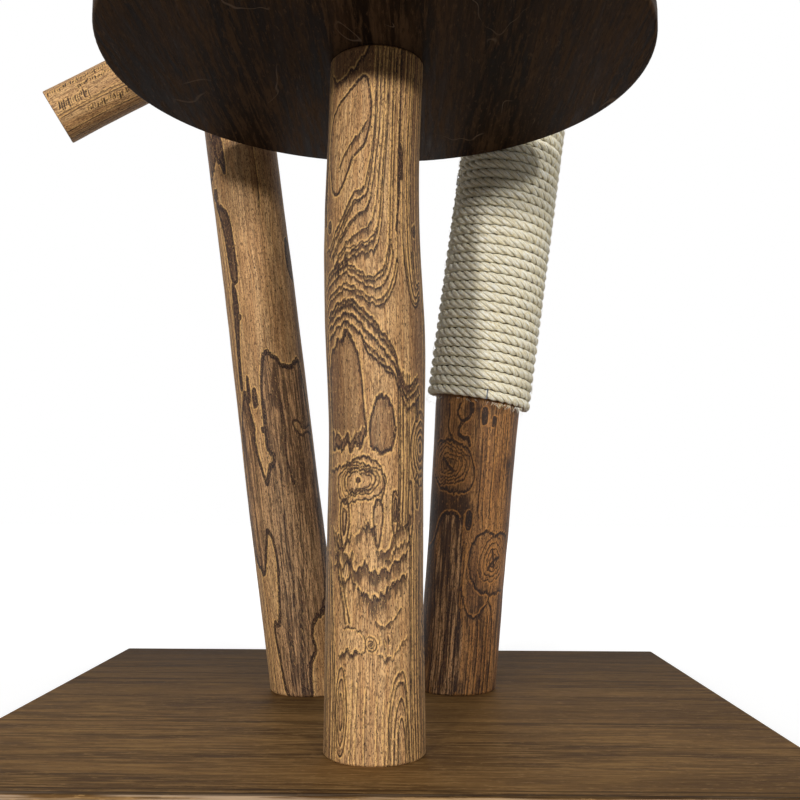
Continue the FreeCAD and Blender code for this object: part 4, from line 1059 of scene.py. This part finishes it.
def log_material(name, pale, tan, brown, line, gold, stained=0.15):
    """Peeled and oiled wood. It reads the drawn figure from the log's vertices."""
    n = Nodes(bpy.data.materials.new(name))
    place = n.attribute("wood_place", vector=True)

    def along(squeeze, *settings):
        """Noise that is drawn out along the fibres."""
        return n.noise(n.scaled(place, (1.0, 1.0, squeeze)), *settings)

    fibres = along(0.035, 1.3, 4.0, 0.62)
    streaks = along(0.05, 0.24, 4.0, 0.55, 0.5)
    patches = along(0.4, 0.024, 3.0, 0.5)
    jag = n.math("SUBTRACT", along(0.1, 0.62, 3.0, 0.6), 0.5)
    teeth_noise = n.math("SUBTRACT", along(0.12, 0.3, 2.5, 0.7), 0.5)
    patchy = n.math("MULTIPLY", n.math("SUBTRACT", patches, 0.5), 1.6)
    # The drawn tone also carries painted shade: the lower platform's shadow near the tops of the
    # front and left logs, and the front log's shaded sides.
    tone = n.math("ADD", n.attribute("tone"), patchy)
    base = n.mix(n.spread(streaks, 0.36, 0.64), tan, pale)
    base = n.over(base, brown, n.spread(tone, 0.05, 1.0), 0.75)
    base = n.over(base, pale, n.spread(tone, -0.1, -0.9), 0.6)
    base = n.over(base, brown, n.spread(fibres, 0.47, 0.64), 0.6)
    stains = along(0.07, 0.3, 4.0, 0.65, 0.6)
    stains = n.spread(n.math("SUBTRACT", stains, n.math("MULTIPLY", tone, 0.12)), 0.5, 0.38)
    base = n.over(base, line, stains, stained)

    heart = n.math("ADD", n.attribute("heart"), n.math("MULTIPLY", jag, 5.0))
    veins = along(0.05, 0.6, 3.0, 0.6, 0.3)
    dark = n.mix(n.spread(streaks, 0.44, 0.55), colour(70, 49, 36), colour(196, 150, 104))
    dark = n.over(dark, colour(204, 162, 116), n.spread(tone, 0.1, -0.9), 0.8)
    dark = n.over(dark, colour(24, 16, 14), n.spread(veins, 0.5, 0.4), 0.85)
    dark = n.over(dark, colour(40, 28, 22), n.spread(tone, 1.2, 2.2), 0.7)
    inside = n.spread(heart, -0.3, 0.6)
    base = n.over(base, dark, inside, 0.88)

    # Faint growth lines between the drawn ones.
    rings = along(0.09, 0.05, 2.0, 0.45, 0.3)
    phase = n.math("ADD", n.math("MULTIPLY", rings, 15.0), n.math("MULTIPLY", jag, 0.5))
    phase = n.math("FRACT", phase)
    fine = n.math("MULTIPLY", n.spread(phase, 0.5, 0.9), n.spread(phase, 1.0, 0.94))
    base = n.over(base, line, fine, 0.38)

    # Drawn lines: dark, with a pale side and a side that is fringed along the fibres.
    rough_edge = n.math("MULTIPLY", jag, 1.6)
    ink = n.spread(n.math("ADD", n.attribute("line"), rough_edge), 1.4, 0.5)
    rim = n.math("SUBTRACT", n.spread(n.attribute("above"), 3.0, 1.5), inside, clamp=True)
    streaky = n.math("ADD", n.math("MULTIPLY", teeth_noise, 12.0), n.math("MULTIPLY", jag, 10.0))
    fringe = n.spread(n.math("SUBTRACT", n.attribute("fringe"), streaky), 5.0, 1.8)
    base = n.over(base, gold, rim, 0.7)
    base = n.over(base, line, fringe, 0.8)
    base = n.over(base, line, ink, 0.96)
    pores = n.spread(along(0.25, 1.2, 2.0, 0.7), 0.5, 0.62)
    base = n.over(base, brown, pores, 0.8)
    specks = n.spread(along(0.3, 0.9, 2.0, 0.75), 0.57, 0.66)
    base = n.over(base, line, specks, 0.85)
    flecks = n.spread(along(0.3, 1.1, 2.0, 0.65), 0.6, 0.7)
    base = n.over(base, gold, flecks, 0.5)

    height = n.math("SUBTRACT", fibres, n.math("MULTIPLY", pores, 0.25))
    rough = n.spread(fibres, 0.3, 0.7, 0.5, 0.66, smooth=False)
    return n.finish(base, rough, n.bump(height, 0.0005, 0.5), Specular_IOR_Level=0.2)


def rope_material():
    n = Nodes(bpy.data.materials.new("sisal_rope"))
    place = n.attribute("strand_place", vector=True)
    outward = n.parts(place)["Y"]
    fibres = n.noise(n.scaled(place, (0.14, 1.0, 1.0)), 2.1, 4.0, 0.7)
    tone = n.noise(n.scaled(place, (0.02, 0.02, 1.0)), 1.0, 2.0, 0.5)
    base = n.mix(n.spread(fibres, 0.42, 0.57), colour(236, 220, 172), colour(255, 254, 246))
    base = n.over(base, colour(238, 224, 178), n.spread(tone, 0.4, 0.7), 0.35)
    base = n.over(base, colour(150, 126, 80), n.spread(fibres, 0.44, 0.34), 0.6)
    # Painted shade: the creases between the strands are darker.
    base = n.over(base, colour(128, 106, 66), n.spread(outward, 0.9, -0.6), 0.85)
    rough = n.spread(fibres, 0.3, 0.7, 0.8, 0.5, smooth=False)
    return n.finish(base, rough, n.bump(fibres, 0.0014, 0.8), Specular_IOR_Level=0.5)


def steel_material(name, light, dark):
    n = Nodes(bpy.data.materials.new(name))
    place = n.object_place()
    grain = n.noise(place, 700.0, 3.0, 0.6)
    stain = n.noise(place, 60.0, 3.0, 0.6)
    base = n.mix(n.spread(stain, 0.4, 0.7), light, dark)
    rough = n.spread(grain, 0.3, 0.7, 0.28, 0.5, smooth=False)
    return n.finish(base, rough, n.bump(grain, 0.0003, 0.3), Metallic=1.0)


# ---- Building --------------------------------------------------------------------------------


def paint(obj, material):
    obj.data.materials.clear()
    obj.data.materials.append(material)


def draw_figure(obj, axis, foot_y, radius, shift, figure):
    """Draw a log's figure on its vertices, and keep each vertex's place on the straightened log.
    The shift gives every log its own wood."""
    points = place_arrays(obj)
    x, y, z = points[:, 0] - axis(points[:, 2]), points[:, 1] - foot_y, points[:, 2]
    set_vectors(obj, "wood_place", np.stack([x + shift, y, z], axis=-1))
    drawing = Figure(np.degrees(np.arctan2(x, -y)), z, radius)
    figure(drawing)
    drawing.store(obj)


def draw_branch_figure(obj, shift):
    root, direction, side, up = branch_frame()
    points = place_arrays(obj) - root
    along, over, out = points @ direction, points @ up, points @ side
    set_vectors(obj, "wood_place", np.stack([over + shift, out, along], axis=-1))
    drawing = Figure(np.degrees(np.arctan2(out, over)), along, BRANCH_RADIUS)
    branch_figure(drawing)
    sawn_end(drawing, np.flatnonzero(along > BRANCH_REACH[1] - 0.05), np.hypot(out, over),
             np.arctan2(out, over))
    drawing.store(obj)


board_stain = stained_board()
platform_stain = stained_platform()
steel = steel_material("zinc_steel", colour(158, 160, 163), colour(112, 114, 118))
staple_wire = steel_material("zinc_steel_dull", colour(58, 60, 66), colour(34, 36, 40))
for node, material in (("base_board", board_stain), ("lower_platform", platform_stain),
                       ("upper_platform", platform_stain)):
    paint(bpy.data.objects[node], material)
for node in ("rope_staples", "base_coach_screws", "base_washers", "base_side_screws",
             "lower_platform_screws", "upper_platform_screws", "branch_coach_screw",
             "branch_washer"):
    paint(bpy.data.objects[node], staple_wire if node == "rope_staples" else steel)

log_wood = log_material("natural_log", colour(222, 177, 122), colour(194, 146, 94),
                        colour(106, 72, 48), colour(30, 17, 17), colour(236, 186, 116))
dark_wood = log_material("natural_log_dark", colour(190, 136, 80), colour(136, 92, 54),
                         colour(66, 42, 27), colour(24, 15, 13), colour(184, 126, 66), stained=0.75)

front = straight_log("front_log", FRONT_LOG, step=0.85)
draw_figure(front, lambda z: log_axis(FRONT_LOG, z), FRONT_LOG["foot"][1], radius=40, shift=0.0,
            figure=front_figure)
left = straight_log("left_log", LEFT_LOG, step=1.2)
sink_bore(left)
draw_figure(left, lambda z: log_axis(LEFT_LOG, z), LEFT_LOG["foot"][1], radius=39, shift=500.0,
            figure=left_figure)
right = right_log("right_log", step=1.15)
draw_figure(right, right_axis, RIGHT_FOOT[1], radius=43, shift=1000.0, figure=right_figure)
stub = branch("branch", step=0.9)
draw_branch_figure(stub, shift=1500.0)

for piece, node in ((front, "front_post"), (left, "left_post"), (right, "right_post"),
                    (stub, "side_branch")):
    paint(piece, dark_wood if piece is right else log_wood)
    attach(piece, "root")
    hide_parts(node)

sisal = rope_material()
for name, node, first, last, seed in (
        ("rope_lower", "rope_lower_length", 0.0, ROPE_JOINT, 3),
        ("rope_upper", "rope_upper_length", ROPE_JOINT, ROPE_TURNS, 4)):
    winding = rope(name, first, last, seed)
    paint(winding, sisal)
    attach(winding, "root")
    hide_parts(node)

# ---- Floor, light and camera -----------------------------------------------------------------


def floor_material():
    n = Nodes(bpy.data.materials.new("studio_floor"))
    # Near the object the glow leaves room for its shadow; further off the floor is plain white.
    far = n.add("VectorMath", (n.object_place(),), operation="LENGTH").outputs["Value"]
    strength = n.math("MULTIPLY", n.seen(), n.spread(far, 0.5, 1.1, 0.78, 0.94, smooth=False))
    glow = n.add("Emission", {"Strength": strength}).outputs[0]
    surface = n.add("BsdfDiffuse", {"Color": (0.4, 0.4, 0.4, 1)}).outputs[0]
    n.add("OutputMaterial", {"Surface": n.add("AddShader", (surface, glow)).outputs[0]})
    return n.owner


FLOOR_REACH = 6.0
FLOOR_DROP = 0.0002  # so that the floor doesn't coincide with the board's underside
SUN_WIDTH = math.radians(4.0)

floor_data = bpy.data.meshes.new("floor")
corners = [(x * FLOOR_REACH, y * FLOOR_REACH, 0) for x, y in ((-1, -1), (1, -1), (1, 1), (-1, 1))]
floor_data.from_pydata(corners, [], [(0, 1, 2, 3)])
floor = bpy.data.objects.new("floor", floor_data)
floor.location.z = -FLOOR_DROP
bpy.context.scene.collection.objects.link(floor)
floor_data.materials.append(floor_material())

# The room is brighter overhead than below, and behind the object, away from the lamps.
room = Nodes(bpy.data.worlds.new("studio"))
way = room.parts(room.add("TexCoord").outputs["Generated"])
light = room.math("ADD", room.spread(way["Z"], -0.1, 0.8, 0.15, 0.38),
                  room.spread(way["Y"], 0.1, 0.9, 0.0, 0.5))
backdrop = room.add("Background", {"Color": (1, 1, 1, 1),
                                   "Strength": room.math("MAXIMUM", room.seen(), light)})
room.add("OutputWorld", {"Surface": backdrop.outputs[0]})
bpy.context.scene.world = room.owner

for name, energy, turn, height in (("key", 1.75, -17.0, 8.4), ("second", 1.3, 22.0, 9.2)):
    lamp_data = bpy.data.lights.new(name, "SUN")
    lamp_data.energy = energy
    lamp_data.angle = SUN_WIDTH
    lamp = bpy.data.objects.new(name, lamp_data)
    turn, height = math.radians(turn), math.radians(height)
    towards = Vector((math.sin(turn), -math.cos(turn), math.tan(height)))
    lamp.rotation_euler = towards.to_track_quat("Z", "Y").to_euler()
    bpy.context.scene.collection.objects.link(lamp)

camera_data = bpy.data.cameras.new("camera")
camera_data.lens = 41.70
camera_data.sensor_width = 36.0
camera_data.clip_start = 0.01
camera = bpy.data.objects.new("camera", camera_data)
right_axis_of_view = Vector((0.99994015, 0.01005771, 0.00430506))
up_axis_of_view = Vector((-0.0032385, -0.1037514, 0.99459799))
back_axis_of_view = -Vector((-0.01045003, 0.99455241, 0.10371262))
turned = Matrix((right_axis_of_view, up_axis_of_view, back_axis_of_view)).transposed()
camera.matrix_world = Matrix.Translation((0.02605, -0.94826, 0.2254)) @ turned.to_4x4()
bpy.context.scene.collection.objects.link(camera)
bpy.context.scene.camera = camera
bpy.context.scene.view_settings.view_transform = "Standard"
